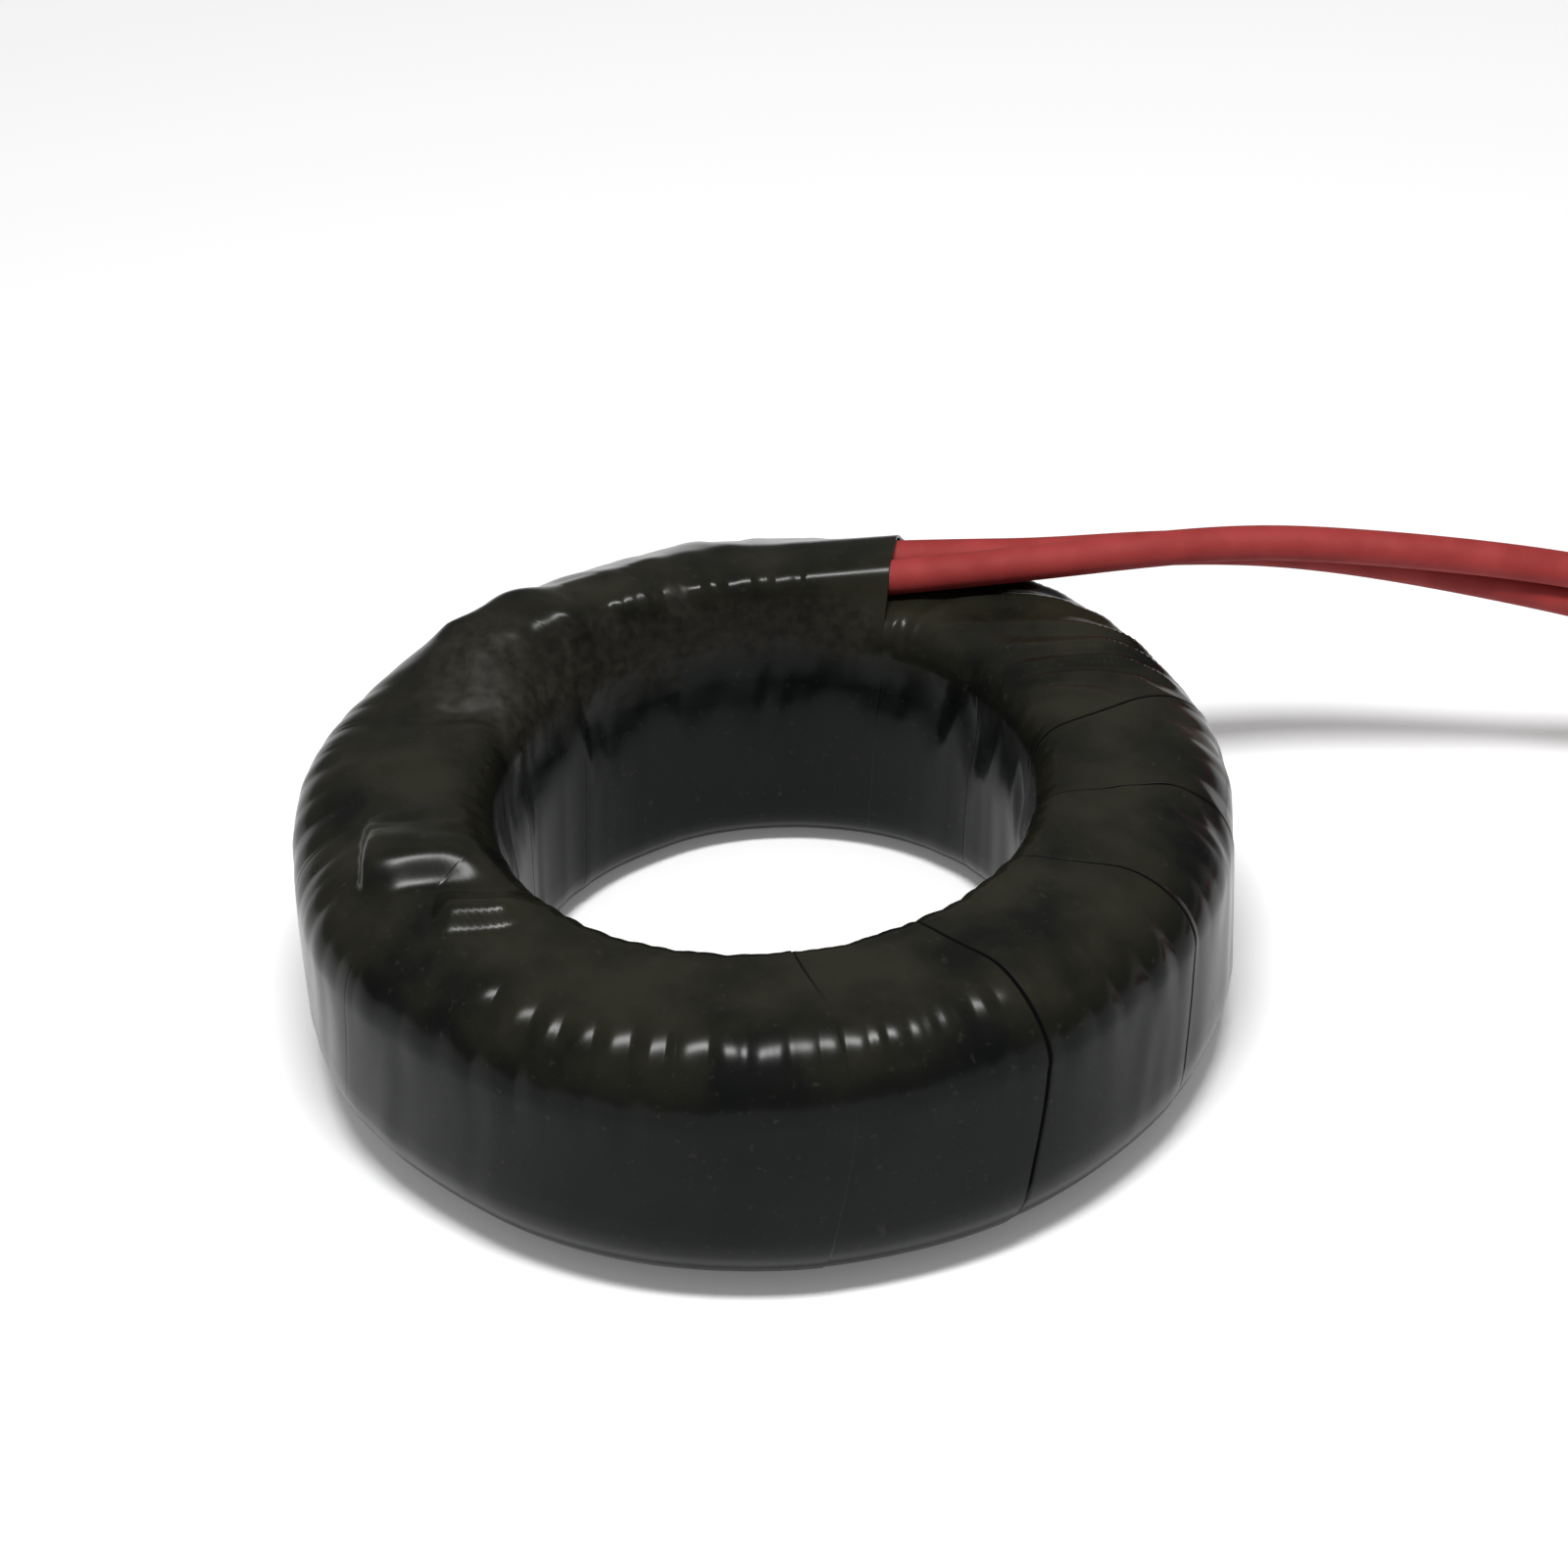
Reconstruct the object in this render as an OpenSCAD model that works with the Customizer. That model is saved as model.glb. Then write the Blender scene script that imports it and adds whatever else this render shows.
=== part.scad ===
// Ring-type current transformer, taped overall, with two flying leads.
// Origin: centre of the ring's flat underside. +Z runs up along the window's axis.
// The ring is built up from its window outwards: tape, film, winding, crepe, collars, core.

/* [Core] */
// Diameter of the clear window through the ring
window_d = 50; // [44:0.5:60]
// Radial build of the strip-wound core
core_build = 9.5; // [8.5:0.25:10.5]
// Height of the core, which is the width of its strip
core_h = 18; // [14:0.5:28]
// Thickness of the core's strip
strip_t = 0.3; // [0.2:0.05:0.5]
// Angle by which the strip's ends stop short of a full turn
strip_end = 30; // [15:5:60]
// Wall of the moulded collars that cap the core's edges
collar_t = 1.6; // [1.5:0.05:1.8]
// How far the collars' skirts reach along the core's walls
collar_skirt = 5; // [3:0.25:6]
// Thickness of the crepe tape round core and collars
crepe_t = 0.5; // [0.4:0.05:0.6]

/* [Winding] */
// Diameter of the enamelled winding wire
wire_d = 1.3; // [1.1:0.05:1.35]
// Winding turns under each lap of the outer tape
turns_per_lap = 7; // [5:1:7]
// Thickness of the film wrapped over the winding
film_t = 0.35; // [0.25:0.05:0.45]
// Clearance left between neighbouring layers
slip = 0.1; // [0.06:0.01:0.12]

/* [Outer tape] */
// Laps of tape round the ring
laps = 15; // [13:1:15]
// Built-up thickness of the outer tape
tape_t = 1; // [0.9:0.05:1.1]
// Thickness of tape that shows as a step at each lap's free edge
edge_t = 0.25; // [0.1:0.05:0.3]
// Depth of the ripples that the winding raises in the tape
ripple = 0.2; // [0.1:0.05:0.25]
// Corner radius at the ring's outside
outer_round = 8; // [7.8:0.1:8.2]
// Corner radius at the window
inner_round = 4.3; // [4:0.1:4.6]
// Angle round the ring of the lap edge where the leads come out
exit_angle = 60; // [58:1:61]
// Cover of tape over the leads
cover_t = 0.35; // [0.3:0.05:0.6]

/* [Leads] */
// Outer diameter of each lead
lead_d = 3.6; // [3.2:0.1:3.7]
// Diameter of the lead's strands
strand_d = 2; // [1.6:0.05:2.1]
// Length of strand in each ferrule
strand_l = 3.2; // [2:0.1:3.4]
// Length of the ferrule that joins wire and lead
ferrule_l = 7; // [6.5:0.1:7.5]
// Wall of the ferrule round the strands
ferrule_t = 0.2; // [0.15:0.05:0.25]
// Wall of the sleeve over the ferrule
sleeve_t = 0.4; // [0.3:0.05:0.45]
// Length of bare strand at each lead's free end
tip_l = 6; // [4:0.5:8]
// Radius of the coil of spare lead, at the middle of its turns
coil_r = 20; // [19.9:0.1:20.1]
// Width of the tie round the coil
tie_w = 3.6; // [2.5:0.1:5]
// Thickness of the tie
tie_t = 0.8; // [0.6:0.1:1]

/* [Hidden] */
$fn = 48;

// depths of the layers below the ring's outside
film_out = tape_t + slip;
film_in = film_out + film_t;
wire_out = film_in + slip;
wire_in = wire_out + wire_d;
crepe_out = wire_in + slip;
crepe_in = crepe_out + crepe_t;
collar_out = crepe_in + slip;
collar_in = collar_out + collar_t;
core_out = collar_in + slip;

window_r = window_d / 2;
ring_r = window_r + 2 * core_out + core_build;
ring_h = 2 * core_out + core_h;
rim_c = window_r + inner_round;
shoulder_c = ring_r - outer_round;

// the leads lie side by side on the ring's top, the rear one 31.4 behind the centre
lead_back = 31.4;
lead_bend_r = 45;
lead_bend = 25;
bend_step = lead_bend / 5;
lead_out_x = 12.5;
slot_out_x = 17.5;
lead_pitch = lead_d + slip;
lead_z = ring_h + lead_d / 2;
bend_y = lead_back - lead_bend_r;
slot_r = lead_d / 2 + slip;
crest_z = lead_z + slot_r + cover_t;
crest_rear = lead_bend_r + slot_r + cover_t;
crest_front = lead_bend_r - lead_pitch - slot_r - cover_t;

// joints between winding and leads, along the line that the leads point back on
tail_bend = 1.9;
tail_hold = 2.4;
join_gap = 0.2;
strand_in = 3;
ferrule_d = strand_d + 2 * slip + 2 * ferrule_t;
sleeve_l = ferrule_l + 1.5;
tail_run = sleeve_l + tail_bend + 1.1;
joint_l = tail_run + wire_d / 2 + 4 * slip;

// coil of spare lead
coil_at = [128, 3];
row = lead_d + slip;
coil_w = 2 * row;
coil_h = 2 * row + slip;
coil_cut = 1.2;
rise_w = row - 2 * slip;
rise_turn = 90;
tie_proud = tie_t / 2;
head_w = tie_w + 1.6;
head_l = 3;
head_h = 4.5;
leave_angle = 150;
leave_l = 14;
leave_z = lead_d / 2 + slip;
leave_at = coil_at + [cos(leave_angle), sin(leave_angle)] * (coil_r + row / 2)
    + [sin(leave_angle), -cos(leave_angle)] * leave_l;

// routes of the free leads, from the tape to the coil and from the coil to their ends
route_1 = [[12.5, 27.7, 30.3], [20, 27.2, 30.9], [28, 26.9, 31.4], [36, 27.6, 31.4], [44, 28.4, 31.2],
           [52, 28.9, 30.7], [60, 28.2, 30], [68, 27.5, 29], [76, 26.9, 27.7], [84, 26.2, 26.1],
           [92, 25.4, 23.8], [100, 24.5, 21], [108, 23.4, 17.8], [116, 22.2, 14.8], [122, 21.4, 13.4],
           [128, 21.2, 13.2]];
route_2 = [[12.5, 31.4, 30.3], [20, 30.9, 30.3], [28, 30.3, 30], [36, 30.8, 29.7], [44, 31.4, 29.1],
           [52, 31.6, 28.2], [60, 30.6, 27.2], [68, 29.3, 25.8], [76, 28, 24.1], [84, 26.7, 22.2],
           [92, 25.5, 19.8], [100, 24.5, 16.9], [108, 23.4, 13.7], [116, 22.2, 10.8], [122, 21.4, 9.6],
           [128, 21.2, 9.4]];
tail_1 = [[leave_at[0], leave_at[1], row + leave_z], [121, 32.6, 5.5], [127.5, 37.4, 3.6],
          [133.5, 41.5, 1.9], [141, 44.5, 1.9]];
tail_2 = [[leave_at[0], leave_at[1], leave_z], [119.5, 32, 1.9], [122.5, 38.5, 1.9],
          [124.5, 45, 1.9], [126, 52, 1.9]];

function mix(a, b, t) = a + (b - a) * t;
function smooth(t) = let (u = min(max(t, 0), 1)) u * u * (3 - 2 * u);
function polar(r, a) = [r * cos(a), r * sin(a)];

// ---------- ring sections ----------

// corners of the ring's half section at depth d: two cuts round each outer corner, one at the window
function section_points(d) =
    let (ri = max(inner_round - d, 0.3), ro = outer_round - d, r1 = rim_c - inner_round + d, r2 = ring_r - d)
    concat(
        [[r1 + ri, d], [r1, d + ri], [r1, ring_h - d - ri], [r1 + ri, ring_h - d]],
        [for (a = [90, 45, 0]) [r2 - ro, ring_h - d - ro] + polar(ro, a)],
        [for (a = [0, -45, -90]) [r2 - ro, d + ro] + polar(ro, a)]
    );

module layer(d) { rotate_extrude() polygon(section_points(d)); }

module shell(outside, inside) {
    difference() {
        layer(outside);
        layer(inside);
    }
}

// ---------- core ----------

module ring(r1, r2, z, h, turn = 360) {
    rotate_extrude(angle = turn) translate([r1, z]) square([r2 - r1, h]);
}

// wound strip: its first and last turns stop short and leave a step inside and outside
module core() {
    r1 = window_r + core_out;
    r2 = r1 + core_build;
    color("dimgray") union() {
        ring(r1 + strip_t, r2 - strip_t, core_out, core_h);
        ring(r1, r1 + strip_t, core_out, core_h, 360 - strip_end);
        rotate([0, 0, 180]) ring(r2 - strip_t, r2, core_out, core_h, 360 - strip_end);
    }
}

// moulded cap over the core's top edges, with skirts down both walls
module collar() {
    color("ivory") rotate_extrude() difference() {
        polygon(section_points(collar_out));
        translate([window_r + collar_in, collar_in]) square([core_build + 2 * slip, core_h + 2 * slip]);
        translate([0, -1]) square([ring_r, ring_h - collar_in - collar_skirt + 1]);
    }
}

module core_collar_top() { collar(); }

module core_collar_bottom() { translate([0, 0, ring_h]) mirror([0, 0, 1]) collar(); }

module core_crepe() { color("tan") shell(crepe_out, crepe_in); }

// ---------- grids wound round the ring ----------

// closed surface through points[line][place]; after its last place a line runs on as the line back by step
module wound_skin(points, step) {
    lines = len(points);
    places = len(points[0]);
    function at(k, j) =
        j < places ? ((k + lines) % lines) * places + j : ((k - step + lines) % lines) * places;
    polyhedron(
        [for (line = points) each line],
        [for (k = [0 : lines - 1]) for (j = [0 : places - 1])
            each [[at(k, j), at(k + 1, j), at(k + 1, j + 1)], [at(k, j), at(k + 1, j + 1), at(k, j + 1)]]]
    );
}

function turn_out(p, t) = [p[0] * cos(t), p[0] * sin(t), p[1]];

// ---------- winding ----------

turns = laps * turns_per_lap;
wire_groove = 0.4 * wire_d;
WIRE_LEAN = [10, 10, 0.3, 0.7, 5, 5.3, 5.5, 0, -1, -3];

// one continuous layer of turns: every second line is the crest of a wire, the others lie between two wires
module turns_skin() {
    wound_skin([for (k = [0 : 2 * turns - 1])
        let (p = section_points(wire_out + (k % 2) * wire_groove))
        [for (j = [0 : len(p) - 1]) turn_out(p[j], exit_angle + k * 180 / turns + WIRE_LEAN[j])]], 2);
}

// point at angle a on the bend of radius e
function on_bend(e, a) = [-e * sin(a), bend_y + e * cos(a)];

// point that lies t behind the bend in the lead whose bend radius is e
function behind(e, t) = on_bend(e, lead_bend) - t * [cos(lead_bend), sin(lead_bend)];

// places the children at the bend's end of one lead, with +X pointing back along its line
module at_joint(e) {
    p = behind(e, 0);
    translate([p[0], p[1], lead_z]) rotate([0, 0, 180 + lead_bend]) children();
}

// end of the wire: up from the winding, over and into its ferrule
module wire_tail(e) {
    at_joint(e) {
        translate([tail_run, 0, ring_h - wire_in + slip - lead_z])
            cylinder(d = wire_d, h = lead_z - tail_bend - ring_h + wire_in - slip);
        translate([tail_run - tail_bend, 0, -tail_bend]) rotate([90, 0, 0]) rotate_extrude(angle = 90)
            translate([tail_bend, 0]) circle(d = wire_d);
        translate([join_gap + ferrule_l - tail_hold, 0, 0]) rotate([0, 90, 0])
            cylinder(d = wire_d, h = tail_run - tail_bend - join_gap - ferrule_l + tail_hold);
    }
}

LEADS = [lead_bend_r - lead_pitch, lead_bend_r];

module secondary_winding() {
    color("peru") union() {
        difference() {
            turns_skin();
            layer(wire_in);
        }
        for (e = LEADS) wire_tail(e);
    }
}

module tail_holes() {
    for (e = LEADS) {
        p = behind(e, tail_run);
        translate([p[0], p[1], ring_h - film_in - 1]) cylinder(d = wire_d + 4 * slip, h = film_in + 2);
    }
}

module winding_film() {
    color("gold") difference() {
        shell(film_out, film_in);
        tail_holes();
    }
}

// ---------- joints ----------

module ferrule(e) {
    color("silver") at_joint(e) translate([join_gap, 0, 0]) rotate([0, 90, 0]) difference() {
        cylinder(d = ferrule_d, h = ferrule_l);
        translate([0, 0, -1]) cylinder(d = strand_d + 2 * slip, h = strand_l + slip + 1);
        translate([0, 0, ferrule_l - tail_hold - slip]) cylinder(d = wire_d + slip, h = tail_hold + 1);
    }
}

module ferrule_sleeve(e) {
    color("black") at_joint(e) translate([join_gap, 0, 0]) rotate([0, 90, 0]) difference() {
        cylinder(d = ferrule_d + 2 * slip + 2 * sleeve_t, h = sleeve_l);
        translate([0, 0, -1]) cylinder(d = ferrule_d + 2 * slip, h = sleeve_l + 2);
    }
}

module ferrule_1() { ferrule(LEADS[0]); }

module ferrule_2() { ferrule(LEADS[1]); }

module ferrule_sleeve_1() { ferrule_sleeve(LEADS[0]); }

module ferrule_sleeve_2() { ferrule_sleeve(LEADS[1]); }

// part of a lead that is held under the tape, with its bared strands
module lead_root(e) {
    color("firebrick") union() {
        translate([0, e + bend_y, lead_z]) rotate([0, 90, 0]) cylinder(d = lead_d, h = lead_out_x);
        translate([0, bend_y, lead_z]) rotate([0, 0, 90]) rotate_extrude(angle = lead_bend)
            translate([e, 0]) circle(d = lead_d);
        at_joint(e) translate([-strand_in, 0, 0]) rotate([0, 90, 0])
            cylinder(d = strand_d, h = strand_in + join_gap + strand_l);
    }
}

module lead_1_root() { lead_root(LEADS[0]); }

module lead_2_root() { lead_root(LEADS[1]); }

// ---------- outer tape ----------

lap_pitch = 360 / laps;
lap_lines = 2 * turns_per_lap + 1;
edge_gap = 0.2;
bore_stock = 0.6;
rim_r = inner_round + bore_stock;
fade_from = 150;
fade_to = 164;
over_bulge = 0.3;

// places along the tape's section: inside corner, wall, rim, top, shoulder, wall, outside corner
WALL = 3;
RIM = 6;
TOP = 11;
SHOULDER = 16;
LAST = 20;

// lean of a lap's edge round the ring at each place, in degrees
function lean(j) =
    lookup(j, [[0, 10], [WALL, 0], [RIM, 0.5], [TOP, 5], [SHOULDER - 1, 5.5], [LAST - 2, 0], [LAST, -3]]);

// depth of a line of the tape below full height: the laps' steps and the winding's ripples
function dip(k) =
    let (m = k % lap_lines)
    m == 0 ? edge_t : edge_t * (m - 1) / (lap_lines - 1) + (m % 2 == 0 ? ripple : 0);

// angle of a line; two lines lie close together at each lap's edge
function line_angle(k) =
    let (m = k % lap_lines, lap = floor(k / lap_lines))
    exit_angle + lap * lap_pitch
        + (m == 0 ? -edge_gap : m == 1 ? edge_gap : (m - 1) * lap_pitch / (lap_lines - 1));

// how far a line belongs to the tent that the tape makes over the leads
function tent(k) = k == 0 ? 0 : 1 - smooth((line_angle(k) - fade_from) / (fade_to - fade_from));

// angle round the ring of the channel's outer end corner, beyond which the tent spreads no further
channel_end = let (p = behind(lead_bend_r + slot_r, joint_l)) atan2(p[1], p[0]);

// radius at which a line at angle t round the ring crosses the curve of bend radius e
function crossing(e, t) =
    t <= 90 ? (e + bend_y) / sin(t)
    : t <= atan2(behind(e, 0)[1], behind(e, 0)[0]) ? bend_y * sin(t) + sqrt(e * e - pow(bend_y * cos(t), 2))
    : (e + bend_y * cos(lead_bend)) / cos(t - 90 - lead_bend);

// angle from upright at which a straight pull from (dr, dz) meets a corner of radius r
function pull(dr, dz, r) = atan2(dr, dz) + acos(r / norm([dr, dz]));

function rim_point(a) = [rim_c - rim_r * sin(a), ring_h - rim_r * (1 - cos(a))];

function shoulder_point(a) = [shoulder_c + outer_round * sin(a), ring_h - outer_round * (1 - cos(a))];

function plain_point(j) =
    j == 0 ? [rim_c, 0]
    : j == 1 ? [rim_c - rim_r * sin(45), rim_r * (1 - cos(45))]
    : j == 2 ? [rim_c - rim_r, rim_r]
    : j <= RIM ? rim_point(90 * (RIM - j) / (RIM - WALL))
    : j <= TOP ? [mix(rim_c, shoulder_c, (j - RIM) / (TOP - RIM)), ring_h]
    : j <= SHOULDER ? shoulder_point(90 * (j - TOP) / (SHOULDER - TOP))
    : j == SHOULDER + 1 ? [ring_r, outer_round]
    : let (a = 30 * (LAST - j)) [shoulder_c + outer_round * sin(a), outer_round * (1 - cos(a))];

// the tape pulls straight from the rim to the leads, lies over them and pulls straight to the shoulder
function tent_point(j, t) =
    let (
        c1 = [crossing(crest_front, min(t, channel_end)), crest_z],
        c2 = [crossing(crest_rear, min(t, channel_end)), crest_z],
        b1 = pull(rim_c - c1[0], crest_z - ring_h + rim_r, rim_r),
        b2 = pull(c2[0] - shoulder_c, crest_z - ring_h + outer_round, outer_round)
    )
    j <= WALL || j >= SHOULDER ? plain_point(j)
    : j <= RIM ? mix(rim_point(b1), c1, (j - 4) / 2)
    : j <= 10 ? mix(c1, c2, (j - RIM) / 4)
    : j <= 12 ? mix(c2, shoulder_point(b2), (j - 10) / 2)
    : shoulder_point(mix(b2, 90, (j - 12) / (SHOULDER - 12)));

// direction in which the tape's steps and ripples stand out, and how strongly
function out(j) =
    j <= WALL || j >= LAST - 1 ? [0, 0]
    : j < RIM ? [0, (j - WALL) / (RIM - WALL)]
    : j <= TOP ? [0, 1]
    : j <= SHOULDER ? let (a = 90 * (j - TOP) / (SHOULDER - TOP)) [sin(a), cos(a)]
    : [1, 0] * (LAST - 1 - j) / 2;

function tape_point(k, j) =
    let (
        t = line_angle(k) + lean(j),
        w = tent(k),
        p = w > 0 ? mix(plain_point(j), tent_point(j, t), w) : plain_point(j)
    )
    turn_out(p - out(j) * dip(k) * mix(1, over_bulge, w), t);

// plan of the channel that holds both leads side by side, as far as where the wires come up
module slot_plan() {
    inner = lead_bend_r - lead_pitch - slot_r;
    outer = lead_bend_r + slot_r;
    polygon(concat(
        [[slot_out_x, bend_y + outer]],
        [for (a = [0 : bend_step : lead_bend]) on_bend(outer, a)],
        [behind(outer, joint_l), behind(inner, joint_l)],
        [for (a = [lead_bend : -bend_step : 0]) on_bend(inner, a)],
        [[slot_out_x, bend_y + inner]]
    ));
}

module lead_slot() { translate([0, 0, lead_z - slot_r]) linear_extrude(2 * slot_r) slot_plan(); }

module outer_tape() {
    color([0.1, 0.1, 0.09]) difference() {
        wound_skin([for (k = [0 : laps * lap_lines - 1]) [for (j = [0 : LAST]) tape_point(k, j)]], lap_lines);
        translate([0, 0, -1]) cylinder(r = window_r, h = ring_h + 2, $fn = 96);
        layer(tape_t);
        lead_slot();
        tail_holes();
    }
}

// ---------- free leads ----------

function direction(path, i) =
    let (d = path[min(i + 1, len(path) - 1)] - path[max(i - 1, 0)])
    (i == 0 ? path[1] - path[0] : i == len(path) - 1 ? path[i] - path[i - 1] : d)
        / norm(i == 0 ? path[1] - path[0] : i == len(path) - 1 ? path[i] - path[i - 1] : d);

// tube of eight sides through the points of a route, with ends square to it
module tube(path, d, first, last) {
    sides = 8;
    n = len(path);
    rings = [for (i = [0 : n - 1])
        let (
            along = i == 0 ? first : i == n - 1 ? last : direction(path, i),
            side = cross([0, 0, 1], along) / norm(cross([0, 0, 1], along)),
            up = cross(along, side)
        )
        [for (s = [0 : sides - 1]) path[i] + d / 2 * (cos(s * 45 + 22.5) * side + sin(s * 45 + 22.5) * up)]];
    polyhedron(
        [for (r = rings) each r],
        concat(
            [[for (s = [0 : sides - 1]) s]],
            [for (i = [0 : n - 2]) for (s = [0 : sides - 1])
                let (a = i * sides + s, b = i * sides + (s + 1) % sides)
                each [[a, a + sides, b], [b, a + sides, b + sides]]],
            [[for (s = [sides - 1 : -1 : 0]) (n - 1) * sides + s]]
        )
    );
}

AHEAD = [1, 0, 0];
LEAVE = [sin(leave_angle), -cos(leave_angle), 0];

module lead_1() { color("firebrick") tube(route_1, lead_d, AHEAD, AHEAD); }

module lead_2() { color("firebrick") tube(route_2, lead_d, AHEAD, AHEAD); }

module lead_1_tail() { color("firebrick") tube(tail_1, lead_d, LEAVE, direction(tail_1, 4)); }

module lead_2_tail() { color("firebrick") tube(tail_2, lead_d, LEAVE, direction(tail_2, 4)); }

// tinned strands at the end of a route
module tip(path) {
    d = direction(path, len(path) - 1);
    p = path[len(path) - 1];
    color("silver") translate(p) rotate([0, acos(d[2]), atan2(d[1], d[0])]) cylinder(d = strand_d, h = tip_l);
}

module lead_1_tip() { tip(tail_1); }

module lead_2_tip() { tip(tail_2); }

// both leads wound together, two turns beside two, with the rise where they come in over the outer turns
module coil_shape() {
    w = coil_w / 2;
    rotate_extrude() polygon([
        [coil_r - w + coil_cut, 0], [coil_r + w - coil_cut, 0], [coil_r + w, coil_cut],
        [coil_r + w, coil_h - coil_cut], [coil_r + w - coil_cut, coil_h], [coil_r - w + coil_cut, coil_h],
        [coil_r - w, coil_h - coil_cut], [coil_r - w, coil_cut]
    ]);
    rotate([0, 0, 90 - rise_turn]) rotate_extrude(angle = rise_turn)
        translate([coil_r - w + slip, coil_h - coil_cut]) square([rise_w, 2 * row + coil_cut]);
}

module lead_coil() {
    color("firebrick") translate([coil_at[0], coil_at[1], 0]) difference() {
        union() {
            coil_shape();
            for (z = [0, row]) rotate([0, 0, leave_angle]) translate([coil_r + row / 2, 0, z + leave_z])
                rotate([90, 0, 0]) cylinder(d = lead_d, h = leave_l);
        }
        tie_band();
    }
}

// band closed round the coil's front, half sunk in it
module tie_band() {
    w = coil_w / 2 + tie_proud;
    h = coil_h + tie_proud;
    translate([-tie_w / 2, -coil_r - w, 0]) difference() {
        cube([tie_w, 2 * w, h]);
        translate([-1, tie_t, tie_t / 2]) cube([tie_w + 2, 2 * w - 2 * tie_t, h - 1.5 * tie_t]);
    }
}

module coil_tie() {
    color("black") translate([coil_at[0], coil_at[1], 0]) {
        tie_band();
        translate([-head_w / 2, -coil_r - coil_w / 2 - tie_proud - head_l, 1]) cube([head_w, head_l, head_h]);
    }
}

core();
core_collar_top();
core_collar_bottom();
core_crepe();
secondary_winding();
winding_film();
ferrule_1();
ferrule_2();
ferrule_sleeve_1();
ferrule_sleeve_2();
lead_1_root();
lead_2_root();
outer_tape();
lead_1();
lead_2();
lead_coil();
coil_tie();
lead_1_tail();
lead_2_tail();
lead_1_tip();
lead_2_tip();
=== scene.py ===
"""Ring current transformer: the taped ring's skin, its two leads and their coil, light and camera."""
import math
from functools import cache
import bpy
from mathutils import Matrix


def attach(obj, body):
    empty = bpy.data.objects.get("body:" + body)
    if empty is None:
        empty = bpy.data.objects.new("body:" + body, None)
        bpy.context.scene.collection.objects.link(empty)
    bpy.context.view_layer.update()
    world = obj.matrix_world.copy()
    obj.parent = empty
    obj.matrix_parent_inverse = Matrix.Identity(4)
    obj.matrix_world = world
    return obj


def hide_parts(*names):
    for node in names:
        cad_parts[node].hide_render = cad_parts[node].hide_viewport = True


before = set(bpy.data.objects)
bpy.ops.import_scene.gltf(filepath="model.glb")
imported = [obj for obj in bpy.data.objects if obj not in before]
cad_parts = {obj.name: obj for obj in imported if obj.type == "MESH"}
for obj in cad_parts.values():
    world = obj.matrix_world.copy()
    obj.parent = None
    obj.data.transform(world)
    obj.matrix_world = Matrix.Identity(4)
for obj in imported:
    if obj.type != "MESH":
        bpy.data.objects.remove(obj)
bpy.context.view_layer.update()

from types import SimpleNamespace

import bpy
import numpy as np
from mathutils import Matrix, Vector

bpy.context.scene.view_settings.view_transform = "Standard"

# Lengths are in millimetres and angles in degrees, unless a comment says otherwise.
MM = 0.001

# ---------- camera, fitted to the photo ----------

RING_MIDDLE = Vector((0, 0, 14.25))
CAMERA_DISTANCE = 445.5
CAMERA_ELEVATION = 37.53
CAMERA_YAW = -0.256
CAMERA_PITCH = 1.226
CAMERA_ROLL = -4.028
CAMERA_LENS = 105.24
CAMERA_SENSOR = 36
CAMERA_NEAR = 10


def turn(angle, axis):
    return Matrix.Rotation(math.radians(angle), 4, axis)


def make_camera():
    """The camera stands in front of the ring and looks down at it."""
    up = math.radians(CAMERA_ELEVATION)
    place = RING_MIDDLE + CAMERA_DISTANCE * Vector((0, -math.cos(up), math.sin(up)))
    data = bpy.data.cameras.new("camera")
    data.lens = CAMERA_LENS
    data.sensor_width = CAMERA_SENSOR
    data.clip_start = CAMERA_NEAR * MM
    camera = bpy.data.objects.new("camera", data)
    aim = turn(90 - CAMERA_ELEVATION, "X") @ turn(CAMERA_YAW, "Y") @ turn(CAMERA_PITCH, "X")
    camera.matrix_world = Matrix.Translation(place * MM) @ aim @ turn(CAMERA_ROLL, "Z")
    bpy.context.scene.collection.objects.link(camera)
    bpy.context.scene.camera = camera


# ---------- curves used by several pieces ----------


def smooth(t):
    """From 0 at t = 0 to 1 at t = 1, level at both ends."""
    t = np.clip(t, 0, 1)
    return t * t * (3 - 2 * t)


def hump(x, centre, width):
    """A smooth hump of height 1 round centre."""
    return np.exp(-((x - centre) / width) ** 2)


def between(x, low, high, edge):
    """1 from low to high, falling to 0 over edge on either side."""
    return smooth((x - low + edge) / edge) * smooth((high + edge - x) / edge)


def arc(centre, radius, start, end, count):
    """Points on a circle from angle start to angle end."""
    a = np.radians(np.linspace(start, end, count))
    return np.stack([centre[0] + radius * np.cos(a), centre[1] + radius * np.sin(a)], 1)


def line(start, end, count):
    """Points after start, up to end."""
    t = np.linspace(0, 1, count + 1)[1:, None]
    return np.array(start) * (1 - t) + np.array(end) * t


# ---------- materials ----------

# sockets of the Mix node, which has a set for each kind of value
MIX_NUMBER_A = 2
MIX_NUMBER_B = 3
MIX_NUMBER_OUT = 0
MIX_COLOUR_A = 6
MIX_COLOUR_B = 7
MIX_COLOUR_OUT = 2

BLACK = (0, 0, 0)
WHITE = (1, 1, 1)
NARROW_RAMP = (0.35, 0.65)


def material(name, **values):
    """A new node material; values are set on the Principled shader's own sockets."""
    m = bpy.data.materials.new(name)
    m.use_nodes = True
    shader = m.node_tree.nodes["Principled BSDF"]
    for key, value in values.items():
        shader.inputs[key.replace("_", " ")].default_value = value
    return m, m.node_tree, shader


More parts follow.
